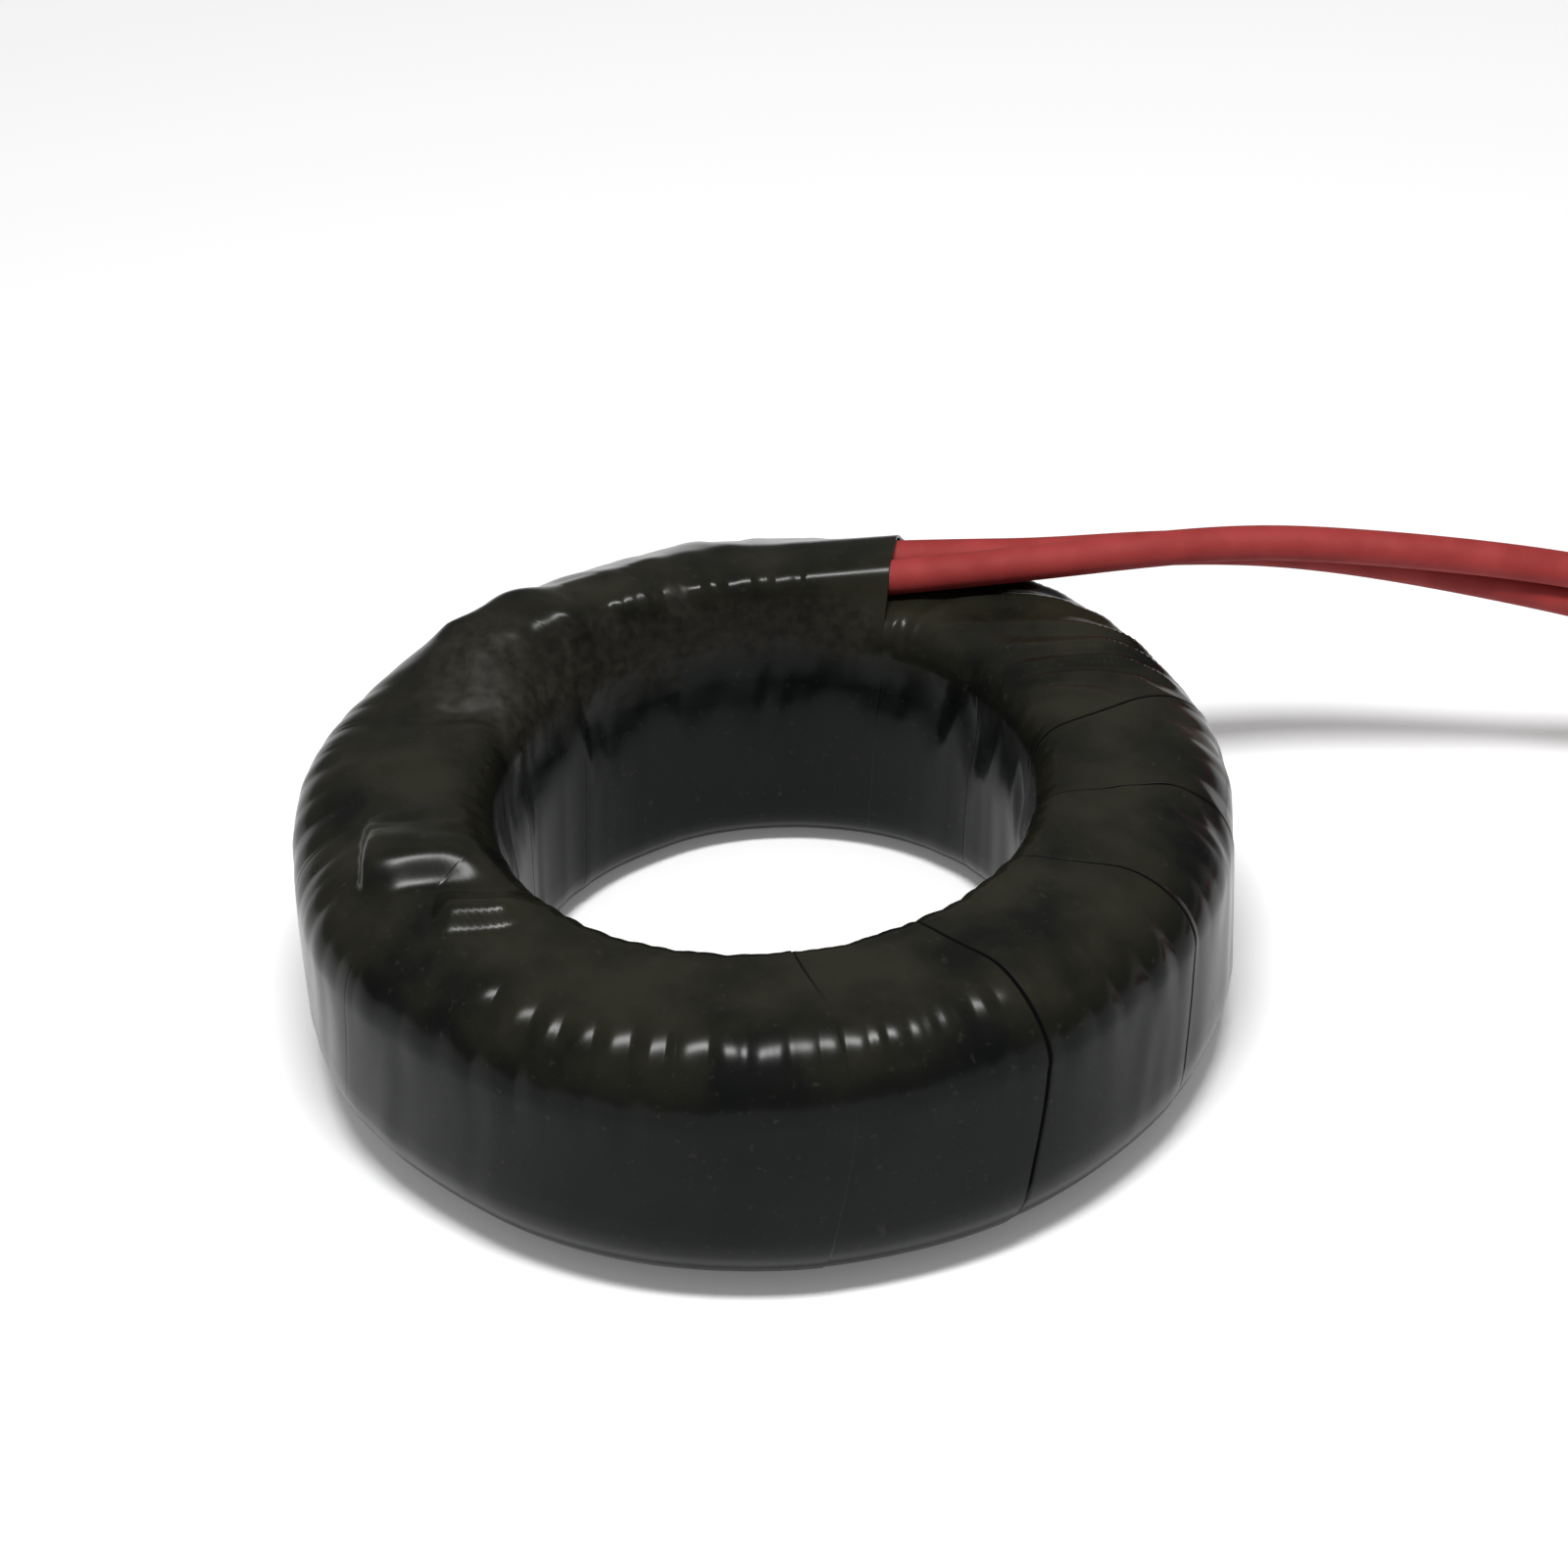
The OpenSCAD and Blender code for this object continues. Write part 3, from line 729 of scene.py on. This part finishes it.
# the lap whose edge shows only between these shares of the way across, with the widths of its fading
SHORT_LAP = 9
SHORT_FROM = 0.02
SHORT_RISE = 0.1
SHORT_TO = 0.55
SHORT_FALL = 0.25


def reach_out(at):
    """How far out each lap's edge shows: one of them only near the rim."""
    across = across_top(at)
    short = smooth((SHORT_TO - across) / SHORT_FALL) * smooth((across - SHORT_FROM) / SHORT_RISE)
    return np.where(at.lap == SHORT_LAP, short, 1)


def seam_shade_lines(at):
    """How dark the painted shade in the gap along a lap's edge is, from 0 to 1."""
    following = (at.lap + 1) % LAPS
    starts = LAP_EDGE[at.lap] * hump(at.fraction, 0, SEAM_W) * reach_out(at)
    ends = LAP_EDGE[following] * hump(at.fraction, 1, SEAM_END_W) * (following != SHORT_LAP)
    return np.clip(starts + ends, 0, 1) * between(at.v, SEAM_FROM, at.marks.foot, SEAM_FADE)


def lap_edges(at):
    """Each lap lies on the next one: it starts a tape's thickness lower, in the line along that edge."""
    here = LAP_EDGE[at.lap] * (1 - at.fraction) + LAP_EDGE[(at.lap + 1) % LAPS] * at.fraction
    faint = 1 - EDGE_FAINT + EDGE_FAINT * uneven(at, *EDGE_NOISE)
    groove = GROOVE_T * hump(at.fraction, 0, GROOVE_W) * reach_out(at)
    return -here * (EDGE_T * (1 - at.fraction) + groove) * faint


# crests where the tape lies over a wire at the front shoulder: angle, and how blunt it is there
CRESTS = [(-125.7, 1), (-120.5, 0.4), (-115.8, 1.2), (-112, 0.8), (-106.5, 0.3), (-101.6, 1.4), (-96.9, 1.1),
          (-92.4, 0.9), (-90.5, 0.7), (-86.8, 1.4), (-83.7, 1.1), (-80.4, 1.1), (-78, 0.6), (-75.2, 1.4),
          (-72.7, 0.7), (-71.3, 0.5), (-68.8, 0.7), (-67.5, 0.6), (-63.5, 0.3), (-59.5, 1.4), (-53, 0.4),
          (-48, 0.4), (-43.7, 1.2), (-37.5, 0.4), (-31.4, 1)]

# the crests round the rest of the ring: seed, first and last gap, range of gaps and of bluntness
CREST_SEED = 31
CREST_START_GAP = 4.5
CREST_END_GAP = 3
CREST_GAPS = (3, 5.6)
CREST_BLUNT = (0.5, 1.3)
DEEPEST = -9.0


def all_crests():
    """The crests at the front and more of them round the rest of the ring."""
    rng = np.random.default_rng(CREST_SEED)
    crests = list(CRESTS)
    angle = CRESTS[-1][0] + CREST_START_GAP
    while angle < CRESTS[0][0] + 360 - CREST_END_GAP:
        crests.append((angle, rng.uniform(*CREST_BLUNT)))
        angle += rng.uniform(*CREST_GAPS)
    return crests


def scallops(at, crests, radius):
    """Blunt crests at the given angles, with sharp hollows between them, at about this radius."""
    height = np.full(np.broadcast(at.t, at.v).shape, DEEPEST)
    for angle, blunt in crests:
        x = (np.mod(at.t - angle + 180, 360) - 180) * radius * np.pi / 180
        height = np.maximum(height, blunt - np.hypot(x, blunt))
    return height


# ribs: how strong they are at the shoulder, all round and at the front, where they lie on it, how much
# steeper they get away from the front's middle, and how strong they are at the window's rim
RIB_SLOPE = 0.2
RIB_ALL_ROUND = 0.5
RIB_FRONT = 0.6
RIB_FROM_SHOULDER = 0.42
RIB_W = 0.055
RIB_STEEPER = 0.7
FRONT_MIDDLE = -80
FRONT_HALF = 18
FRONT_FADE = 25
RIM_RIB = 0.1
RIM_RIB_W = 0.03
FRONT = (-128, -28, 6)

# streaks down the walls: height everywhere, and more at the sides and at the window's ends
STREAK_NOISE = (170, 4, 22)
STREAK_T = 0.006
SIDE_STREAK_T = 0.03
WINDOW_STREAK_T = 0.012
LEFT_SIDE = [(-180, -130, 15), (150, 180, 20)]
RIGHT_SIDE = [(-42, 0, 12)]
WINDOW_ENDS = [(-30, 45, 20), (130, 180, 20), (-180, -150, 20)]
WALL_FADE = 0.05
WINDOW_FROM = 0.1
WINDOW_FADE = 0.03


def winding_ribs(at):
    """The wires under the tape show through as ribs at the shoulder and as soft streaks on the walls."""
    m = at.marks
    front = between(at.t, *FRONT)
    steeper = 1 + RIB_STEEPER * smooth((np.abs(at.t - FRONT_MIDDLE) - FRONT_HALF) / FRONT_FADE) * front
    corner_line = hump(at.v, m.shoulder + RIB_FROM_SHOULDER * (m.outside - m.shoulder), RIB_W)
    corner = RIB_SLOPE * steeper * (RIB_ALL_ROUND + RIB_FRONT * front) * corner_line
    rim = RIM_RIB * hump(at.v, (m.rim + m.top) / 2, RIM_RIB_W)

    left = around_ring(at, LEFT_SIDE)
    right = around_ring(at, RIGHT_SIDE)
    sides = STREAK_T + SIDE_STREAK_T * left + SIDE_STREAK_T * right
    outer = sides * between(at.v, m.outside, m.foot, WALL_FADE)
    ends = STREAK_T + WINDOW_STREAK_T * around_ring(at, WINDOW_ENDS)
    inner = ends * between(at.v, WINDOW_FROM, m.rim, WINDOW_FADE)
    return (corner + rim) * scallops(at, all_crests(), RING_R) + (outer + inner) * uneven(at, *STREAK_NOISE)


# flare: how much wider the window gets, where that starts below the rim and how unevenly, where it
# ends past the top or, under the tent, past the rim, and the widths of its start and end
FLARE_T = 0.85
FLARE_BELOW = 0.1
FLARE_UNEVEN = 0.012
FLARE_NOISES = ((130, 2, 25), (50, 2, 27))
FLARE_PAST_TOP = 0.02
FLARE_PAST_RIM = 0.05
FLARE_RISE = 0.085
FLARE_FALL = 0.08
UNDER_TENT = (62, 156, 6)


def inner_flare(at):
    """The window widens a little towards its rim, unevenly round it."""
    m = at.marks
    start = m.rim - FLARE_BELOW
    for cells in FLARE_NOISES:
        start = start + FLARE_UNEVEN * uneven(at, *cells)
    tent = between(at.t, *UNDER_TENT)
    end = (m.top + FLARE_PAST_TOP) * (1 - tent) + (m.rim + FLARE_PAST_RIM) * tent
    return -FLARE_T * smooth((at.v - start) / FLARE_RISE) * smooth((end - at.v) / FLARE_FALL)


# swells: heights at the shoulder and elsewhere, broad ones first
BROAD_NOISE = (36, 4, 4)
BROAD_CORNER_T = 0.10
BROAD_T = 0.05
SMALL_NOISE = (130, 16, 5)
SMALL_CORNER_T = 0.08
SMALL_TOP_T = 0.012
TOP_FADE = 0.05
CORNER_W = 0.07
RIM_NOISE = (150, 10, 7)
RIM_SWELL_T = 0.05
RIM_SWELL_W = 0.035


def swells(at):
    """Soft bumps and dents where the tape was pulled over what lies under it."""
    m = at.marks
    corner = hump(at.v, (m.shoulder + m.outside) / 2, CORNER_W)
    top = between(at.v, m.top, m.shoulder, TOP_FADE)
    broad = uneven(at, *BROAD_NOISE) * (BROAD_CORNER_T * corner + BROAD_T)
    small = uneven(at, *SMALL_NOISE) * (SMALL_CORNER_T * corner + SMALL_TOP_T * top)
    rim = uneven(at, *RIM_NOISE) * RIM_SWELL_T * hump(at.v, (m.rim + m.top) / 2, RIM_SWELL_W)
    return broad + small + rim


# ridges: where they are strong and where weak, their place and width on the shoulder, how far apart,
# how slanted, shifted and sharp, and their height
RIDGES_STRONG = (18, 58, 9)
RIDGES_WEAK = (-16, 2, 6)
WEAK_SHARE = 0.35
RIDGE_FROM_SHOULDER = 0.1
RIDGE_W = 0.095
RIDGE_PITCH = 7.2
RIDGE_SLANT = 100
RIDGE_SHIFT = 0.4
RIDGE_SHIFT_NOISE = (30, 4, 13)
RIDGE_SHARP = 1.4
RIDGE_LEAST = 0.06
RIDGE_T = 0.34
RIDGE_MOST = 0.65
RIDGE_UNEVEN = 0.16
RIDGE_NOISE = (40, 4, 14)


def back_ridges(at):
    """Slanting ridges where the tape is bunched over the shoulder, strong at the back right."""
    m = at.marks
    amount = between(at.t, *RIDGES_STRONG) + WEAK_SHARE * between(at.t, *RIDGES_WEAK)
    where = amount * hump(at.v, m.shoulder + RIDGE_FROM_SHOULDER * (m.outside - m.shoulder), RIDGE_W)
    slant = (at.t + RIDGE_SLANT * (at.v - m.shoulder)) / RIDGE_PITCH
    phase = slant + RIDGE_SHIFT * uneven(at, *RIDGE_SHIFT_NOISE)
    crest = 1 - 2 * np.abs(np.sin(np.pi * phase)) ** RIDGE_SHARP
    return where * crest * np.clip(RIDGE_T + RIDGE_UNEVEN * uneven(at, *RIDGE_NOISE), RIDGE_LEAST, RIDGE_MOST)


# folds on the left of the top: y of the crest, x of the outer end and the inner one, how long each
# end takes to die away, rise behind the crest, run in front of it, height
FOLDS = [(-12.3, -36.8, -30.5, 1.6, 9, 11, 4.1, 2.3),
         (-20.4, -29.4, -25, 2.2, 4.5, 4.5, 2.7, 1.75),
         (4.5, -36, -31, 3, 4, 4, 2.2, 0.3),
         (-3.5, -35, -29, 3, 4, 4, 2.4, 0.35),
         (-27.5, -24, -19, 2, 3, 3, 1.8, 0.25)]
FOLD_UNEVEN = 0.3
FOLD_NOISE = (60, 20, 28)
FOLD_SHORT = 0.02
FOLD_FADE = 0.03


def left_folds(at):
    """Folds across the left of the top, each with its steep side to the front."""
    m = at.marks
    x = at.r * np.cos(np.radians(at.t))
    y = at.r * np.sin(np.radians(at.t))
    wander = FOLD_UNEVEN * uneven(at, *FOLD_NOISE)
    total = 0
    for crest, x_out, x_in, end_out, end_in, rise, run, height in FOLDS:
        ahead = crest - y + wander
        profile = np.where(ahead < 0, smooth(1 + ahead / rise), smooth(1 - ahead / run))
        ends = smooth((x - x_out + end_out) / end_out) * smooth((x_in + end_in - x) / end_in)
        total = total + height * profile * ends
    return total * between(at.v, m.top, m.outside - FOLD_SHORT, FOLD_FADE)


# pinches of the tape over the leads, as for the front shoulder, about how far out they are, their
# slope, deepest hollow, line across the top and span round the ring
PINCHES = [(127.9, 0.9), (123.5, 0.2), (118.3, 0.45), (115.7, 0.35), (112.7, 0.35), (109.9, 0.35),
           (106.9, 0.4), (103.5, 0.2), (98.5, 1.8), (92, 0.6), (87, 0.8), (82, 0.5), (77, 0.8), (71, 0.6)]
PINCH_R = 28
PINCH_SLOPE = 0.2
PINCH_DEEPEST = -2
PINCH_LINE = (0.24, 0.08)
PINCH_SPAN = (66, 131, 4)

# bumps, folds and pleats of the tent: height, noise, line across the top and span round the ring
TENT_SWELLS = [(0.25, (90, 24, 15), (0.4, 0.25), (98, 155, 10)),
               (0.3, (70, 10, 26), (0.35, 0.25), (118, 165, 8)),
               (0.12, (120, 3, 16), (0.25, 0.2), (70, 150, 8))]

# the bulge at the tent's left end
BULGE_T = 0.7
BULGE_PLACE = (143, 13)
BULGE_LINE = (0.3, 0.17)


def tent_wrinkles(at):
    """Bumps along the crest over the leads, a bulge at its left end and pleats down to the window's rim."""
    across = across_top(at)
    crest = hump(across, *PINCH_LINE) * between(at.t, *PINCH_SPAN)
    total = PINCH_SLOPE * (np.maximum(scallops(at, PINCHES, PINCH_R), PINCH_DEEPEST) * crest)
    for height, cells, where, span in TENT_SWELLS:
        total = total + height * (uneven(at, *cells) * hump(across, *where) * between(at.t, *span))
    return total + BULGE_T * (hump(at.t, *BULGE_PLACE) * hump(across, *BULGE_LINE))


# bumps on the window's rim beside the mouth: angle, width and height
RIM_BUMPS = [(58.6, 0.9, 0.28), (54.6, 0.9, 0.28), (49, 1.2, 0.15)]
RIM_BUMP_LINE = (0.12, 0.06)


def rim_bumps(at):
    """Small bumps close to the mouth, which catch the light."""
    where = hump(across_top(at), *RIM_BUMP_LINE)
    return sum(height * hump(at.t, angle, width) * where for angle, width, height in RIM_BUMPS)


# the left side is thicker by this much, in a span counted from 0 to 360, from a little above the
# outside's upper end to the foot
LEFT_T = 0.9
LEFT_SPAN = (160, 205, 25)
LEFT_ABOVE = 0.05
LEFT_FADE = 0.1


def left_bulge(at):
    """The taping is thicker on the left."""
    m = at.marks
    span = between(at.t + 360 * (at.t < 0), *LEFT_SPAN)
    return span * LEFT_T * between(at.v, m.outside - LEFT_ABOVE, m.foot, LEFT_FADE)


# matt places, round the ring and across the top: the crumpled patch on the rim, the slope up to the
# leads and the tent's left end
PATCH = ((108, 140, 7), (-0.06, 0.2, 0.09))
PATCH_BASE = 0.55
PATCH_NOISES = ((0.6, (150, 70, 17)), (0.3, (60, 30, 23)))
SLOPE = ((66, 158, 6), (0.03, 0.15, 0.06))
SLOPE_MATT = 0.75
LEFT_END = ((148, 11), (0.28, 0.2))


def crumple(at):
    """Where the tape is matt, from 0 to 1: crumpled on the window's rim at the back, dull up to the leads."""
    across = across_top(at)
    ragged = PATCH_BASE
    for share, cells in PATCH_NOISES:
        ragged = ragged + share * uneven(at, *cells)
    patch = between(at.t, *PATCH[0]) * between(across, *PATCH[1]) * ragged
    slope = between(at.t, *SLOPE[0]) * between(across, *SLOPE[1]) * SLOPE_MATT
    left_end = hump(at.t, *LEFT_END[0]) * hump(across, *LEFT_END[1])
    return np.clip(np.maximum(patch, np.maximum(slope, left_end)), 0, 1)


# where the tent calms what lies under it and how deep its hollows may be, also close to the mouth
TENT_SPAN = (60, 150, 6)
TENT_FADE = 0.02
TENT_CALM = 0.45
TENT_LOWEST = -0.3
MOUTH_SPAN = (62, 76, 3)
MOUTH_SHARE = 0.1
MOUTH_LOWEST = -0.1

# crumpled grain: height and noise; and how much lower than the smooth ring the tape lies
GRAINS = ((0.05, (420, 180, 18)), (0.07, (170, 80, 24)))
LOWERED = 0.05


def tape_relief(at):
    """Height of the tape's surface over the smooth ring, how matt it is, and the painted shade in its edges'
    gaps.
    """
    m = at.marks
    on_top = between(at.v, m.rim, m.outside, TENT_FADE)
    tent = between(at.t, *TENT_SPAN) * on_top
    at_mouth = between(at.t, *MOUTH_SPAN) * on_top
    matt = crumple(at)
    grain = sum(height * uneven(at, *cells) for height, cells in GRAINS) * matt
    calm = 1 - TENT_CALM * tent
    height = lap_edges(at) + (winding_ribs(at) + swells(at)) * calm + back_ridges(at) * (1 - tent)
    height = height + left_folds(at) + tent_wrinkles(at) + rim_bumps(at) + grain + left_bulge(at) - LOWERED
    lowest = np.where(at_mouth > MOUTH_SHARE, MOUTH_LOWEST, np.where(tent > 0.5, TENT_LOWEST, DEEPEST))
    return np.maximum(height, lowest) + inner_flare(at), matt, seam_shade_lines(at)


# ---------- tie round the coil ----------

# the strap's loop: middle in x and y, half its width in y, its top and bottom, rounding, thickness
# and width
TIE_AT = (128, -17)
TIE_HALF = 3.7
TIE_TOP = 7.5
TIE_LOW = 0.42
TIE_CORNER = 1.6
TIE_CORNER_POINTS = 9
TIE_T = 0.76
TIE_W = 3.6
TIE_SOFT_EDGE = 0.18

# the head, the latch in it and the strap's cut end above it, with what they stand out and up
HEAD_AT = (128, -22.6, 3)
HEAD_SIZE = (5.2, 3, 3.6)
LATCH_OUT = 1.5
LATCH_SIZE = (2.2, 0.5, 2)
END_OUT = 0.1
END_UP = 2.4
END_SIZE = (TIE_W, TIE_T, 1.6)

# a block's corners are numbered by x, then y, then z
BLOCK_FACES = [(0, 1, 3, 2), (4, 6, 7, 5), (0, 4, 5, 1), (2, 3, 7, 6), (0, 2, 6, 4), (1, 5, 7, 3)]

# from dark to light, roughness and noise scale
TIE_FINISH = ((0.012, 0.012, 0.013), (0.022, 0.022, 0.023), 0.42, 900)


def loop_points(offset):
    """The tie's rounded loop in y and z, offset outwards."""
    middle = (TIE_TOP + TIE_LOW) / 2
    half = (TIE_TOP - TIE_LOW) / 2
    points = []
    for y, z, start in ((1, 1, 90), (-1, 1, 180), (-1, -1, 270), (1, -1, 360)):
        corner = (TIE_AT[1] + y * (TIE_HALF - TIE_CORNER), middle + z * (half - TIE_CORNER))
        points.append(arc(corner, TIE_CORNER + offset, start - 90, start, TIE_CORNER_POINTS))
    return np.concatenate(points)


def block_points(centre, size):
    """The eight corners of a block."""
    corners = [(x, y, z) for x in (-0.5, 0.5) for y in (-0.5, 0.5) for z in (-0.5, 0.5)]
    return [tuple(c + k * s for c, k, s in zip(centre, corner, size)) for corner in corners]


def make_tie():
    """A strap round both leads' turns, with its head, the latch in the head and the cut end."""
    inner = loop_points(-TIE_T / 2)
    outer = loop_points(TIE_T / 2)
    n = len(inner)
    points = []
    faces = []
    for loop, side in ((inner, -0.5), (outer, -0.5), (outer, 0.5), (inner, 0.5)):
        points += [(TIE_AT[0] + side * TIE_W, y, z) for y, z in loop]
    for ring in range(4):
        following = (ring + 1) % 4 * n
        for i in range(n):
            k = (i + 1) % n
            faces.append((ring * n + i, ring * n + k, following + k, following + i))

    x, y, z = HEAD_AT
    blocks = [(HEAD_AT, HEAD_SIZE),
              ((x, y - LATCH_OUT, z), LATCH_SIZE),
              ((x, y - END_OUT, z + END_UP), END_SIZE)]
    for centre, size in blocks:
        faces += [tuple(len(points) + i for i in face) for face in BLOCK_FACES]
        points += block_points(centre, size)
    finish = simple_finish("tie", *TIE_FINISH)
    finish_mesh("coil_strap", points, faces, finish, "coil_tie", soft_edge=TIE_SOFT_EDGE)


# ---------- bare ends of the leads ----------

# strands of a bare end: how many, their radius, how far they twist over the length, the angle between
# them, the length, how much shorter some are, how far they reach in and how narrow they end
STRANDS = 7
STRAND_R = 0.33
STRAND_TWIST = 150
STRAND_STEP = 60
TIP_L = 6
SHORTER = 0.35
TIP_INSIDE = 1
STRAND_END = 0.75
STRAND_SIDES = 12
STRAND_RINGS = 15

# from dark to light, roughness, noise scale, metal and depth of the grain
TIP_FINISH = ((0.52, 0.52, 0.5), (0.68, 0.68, 0.65), 0.35, 1500, 0.9, 0.02)


def strand_faces(start):
    """Sides and both ends of the strand whose points begin at this number."""
    faces = []
    for k in range(STRAND_RINGS - 1):
        for i in range(STRAND_SIDES):
            a = start + k * STRAND_SIDES + i
            b = start + k * STRAND_SIDES + (i + 1) % STRAND_SIDES
            faces.append((a, b, b + STRAND_SIDES, a + STRAND_SIDES))
    last = start + (STRAND_RINGS - 1) * STRAND_SIDES
    faces.append(tuple(range(start + STRAND_SIDES - 1, start - 1, -1)))
    faces.append(tuple(range(last, last + STRAND_SIDES)))
    return faces


def make_tip(name, tail, node):
    """Tinned strands, twisted together, out of a lead's cut end."""
    end = np.array(tail[-1])
    along = end - np.array(tail[-2])
    along = along / np.linalg.norm(along)
    side = np.array([-along[1], along[0], 0])
    up = np.array([0, 0, 1])
    ring = np.radians(np.arange(STRAND_SIDES) * 360 / STRAND_SIDES)
    points = []
    faces = []
    for strand in range(STRANDS):
        off = 0 if strand == 0 else 2 * STRAND_R
        length = TIP_L - SHORTER * (strand % 3)
        faces += strand_faces(len(points))
        for k in range(STRAND_RINGS):
            s = -TIP_INSIDE + (length + TIP_INSIDE) * k / (STRAND_RINGS - 1)
            a = math.radians(STRAND_STEP * strand + STRAND_TWIST * s / TIP_L)
            centre = end + s * along + off * (math.cos(a) * side + math.sin(a) * up)
            r = STRAND_R * (STRAND_END if k == STRAND_RINGS - 1 else 1)
            points += [tuple(centre + r * (math.cos(b) * side + math.sin(b) * up)) for b in ring]
    return finish_mesh(name, points, faces, simple_finish(name, *TIP_FINISH), node)


# ---------- finishes of the nodes that stay as in CAD ----------

# from dark to light, roughness, noise scale and metal
STEEL = ((0.25, 0.26, 0.27), (0.36, 0.37, 0.38), 0.4, 400, 0.9)
COLLAR = ((0.62, 0.58, 0.47), (0.7, 0.66, 0.55), 0.5, 300, 0.0)
CREPE = ((0.42, 0.31, 0.17), (0.55, 0.42, 0.25), 0.8, 900, 0.0)
WIRE = ((0.30, 0.10, 0.03), (0.42, 0.16, 0.05), 0.25, 200, 0.3)
FILM = ((0.55, 0.42, 0.14), (0.66, 0.52, 0.2), 0.2, 150, 0.0)
FERRULE = ((0.5, 0.5, 0.48), (0.65, 0.65, 0.62), 0.35, 1500, 0.9)
SLEEVE = ((0.01, 0.01, 0.01), (0.02, 0.02, 0.02), 0.45, 1500, 0.0)
LEAD_ROOT = ((0.40, 0.035, 0.035), (0.50, 0.06, 0.055), 0.55, 300, 0.0)

INNER_FINISHES = {
    "core": STEEL,
    "core_collar_top": COLLAR,
    "core_collar_bottom": COLLAR,
    "core_crepe": CREPE,
    "secondary_winding": WIRE,
    "winding_film": FILM,
    "ferrule_1": FERRULE,
    "ferrule_2": FERRULE,
    "ferrule_sleeve_1": SLEEVE,
    "ferrule_sleeve_2": SLEEVE,
    "lead_1_root": LEAD_ROOT,
    "lead_2_root": LEAD_ROOT,
}


def dress_nodes():
    """Gives the nodes that keep their CAD shape a finish each."""
    for name, finish in INNER_FINISHES.items():
        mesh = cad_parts[name].data
        mesh.materials.clear()
        mesh.materials.append(simple_finish(name, *finish))


# ---------- floor, sky and lamp ----------

# the floor's half width, how far it lies under the part, its finish and how much it shines to the
# camera, to reflections and through clear things, where 1 is white
FLOOR_HALF = 6000
FLOOR_BELOW = 0.1
FLOOR_COLOUR = (0.93, 0.93, 0.93, 1)
FLOOR_ROUGHNESS = 0.9
FLOOR_SHOWN = 0.12
FLOOR_RAYS = ("Is Camera Ray", "Is Glossy Ray", "Is Transmission Ray")

# the sky's strength low down and overhead, and the heights between which it rises, where 1 is the top
SKY_LOW = 0.19
SKY_HIGH = 0.38
SKY_RISE = (0.35, 0.62)

LAMP_AT = (0, -165, 612)
LAMP_SIZE = (230, 90)
LAMP_WATTS = 3.5


def make_floor():
    """A white floor that keeps the shadows. The camera sees it a little brighter than it is lit."""
    mesh = bpy.data.meshes.new("floor")
    corners = [(x * FLOOR_HALF * MM, y * FLOOR_HALF * MM, -FLOOR_BELOW * MM)
               for x, y in ((-1, -1), (1, -1), (1, 1), (-1, 1))]
    mesh.from_pydata(corners, [], [(0, 1, 2, 3)])
    floor = bpy.data.objects.new("floor", mesh)
    bpy.context.scene.collection.objects.link(floor)
    m, tree, shader = material("floor", Base_Color=FLOOR_COLOUR, Roughness=FLOOR_ROUGHNESS,
                               Emission_Color=(*WHITE, 1))
    ray = tree.nodes.new("ShaderNodeLightPath")
    seen = None
    for name in FLOOR_RAYS:
        add = tree.nodes.new("ShaderNodeMath")
        add.operation = "MULTIPLY_ADD"
        add.inputs[1].default_value = FLOOR_SHOWN
        add.inputs[2].default_value = 0
        tree.links.new(ray.outputs[name], add.inputs[0])
        if seen:
            tree.links.new(seen, add.inputs[2])
        seen = add.outputs[0]
    tree.links.new(seen, shader.inputs["Emission Strength"])
    mesh.materials.append(m)


def make_world():
    """A soft studio, dimmer low down than overhead."""
    world = bpy.data.worlds.new("world")
    bpy.context.scene.world = world
    world.use_nodes = True
    tree = world.node_tree
    place = tree.nodes.new("ShaderNodeTexCoord")
    part = tree.nodes.new("ShaderNodeSeparateXYZ")
    tree.links.new(place.outputs["Generated"], part.inputs[0])
    shade = tree.nodes.new("ShaderNodeMapRange")
    shade.interpolation_type = "SMOOTHSTEP"
    shade.inputs["From Min"].default_value = SKY_RISE[0]
    shade.inputs["From Max"].default_value = SKY_RISE[1]
    shade.inputs["To Min"].default_value = SKY_LOW
    shade.inputs["To Max"].default_value = SKY_HIGH
    tree.links.new(part.outputs["Z"], shade.inputs["Value"])
    sky = tree.nodes["Background"]
    sky.inputs["Color"].default_value = (*WHITE, 1)
    tree.links.new(shade.outputs["Result"], sky.inputs["Strength"])


def make_lamp(name, place, size, power):
    """A rectangular lamp that faces the middle of the floor."""
    data = bpy.data.lights.new(name, "AREA")
    data.shape = "RECTANGLE"
    data.size = size[0] * MM
    data.size_y = size[1] * MM
    data.energy = power
    lamp = bpy.data.objects.new(name, data)
    lamp.location = Vector(place) * MM
    lamp.rotation_euler = (Vector(place) * -1).to_track_quat("-Z", "Y").to_euler()
    bpy.context.scene.collection.objects.link(lamp)


make_camera()
tip_1 = make_tip("lead_1_strands", TAIL_1, "lead_1_tip")
tip_2 = make_tip("lead_2_strands", TAIL_2, "lead_2_tip")
make_lead("lead_1_cord", ROUTE_1, LEVELS_1, TAIL_1, ["lead_1", "lead_1_tail", "lead_coil"])
make_lead("lead_2_cord", ROUTE_2, LEVELS_2, TAIL_2, ["lead_2", "lead_2_tail", "lead_coil"])
make_tie()
make_tape()
dress_nodes()
make_floor()
make_world()
make_lamp("overhead", LAMP_AT, LAMP_SIZE, LAMP_WATTS)
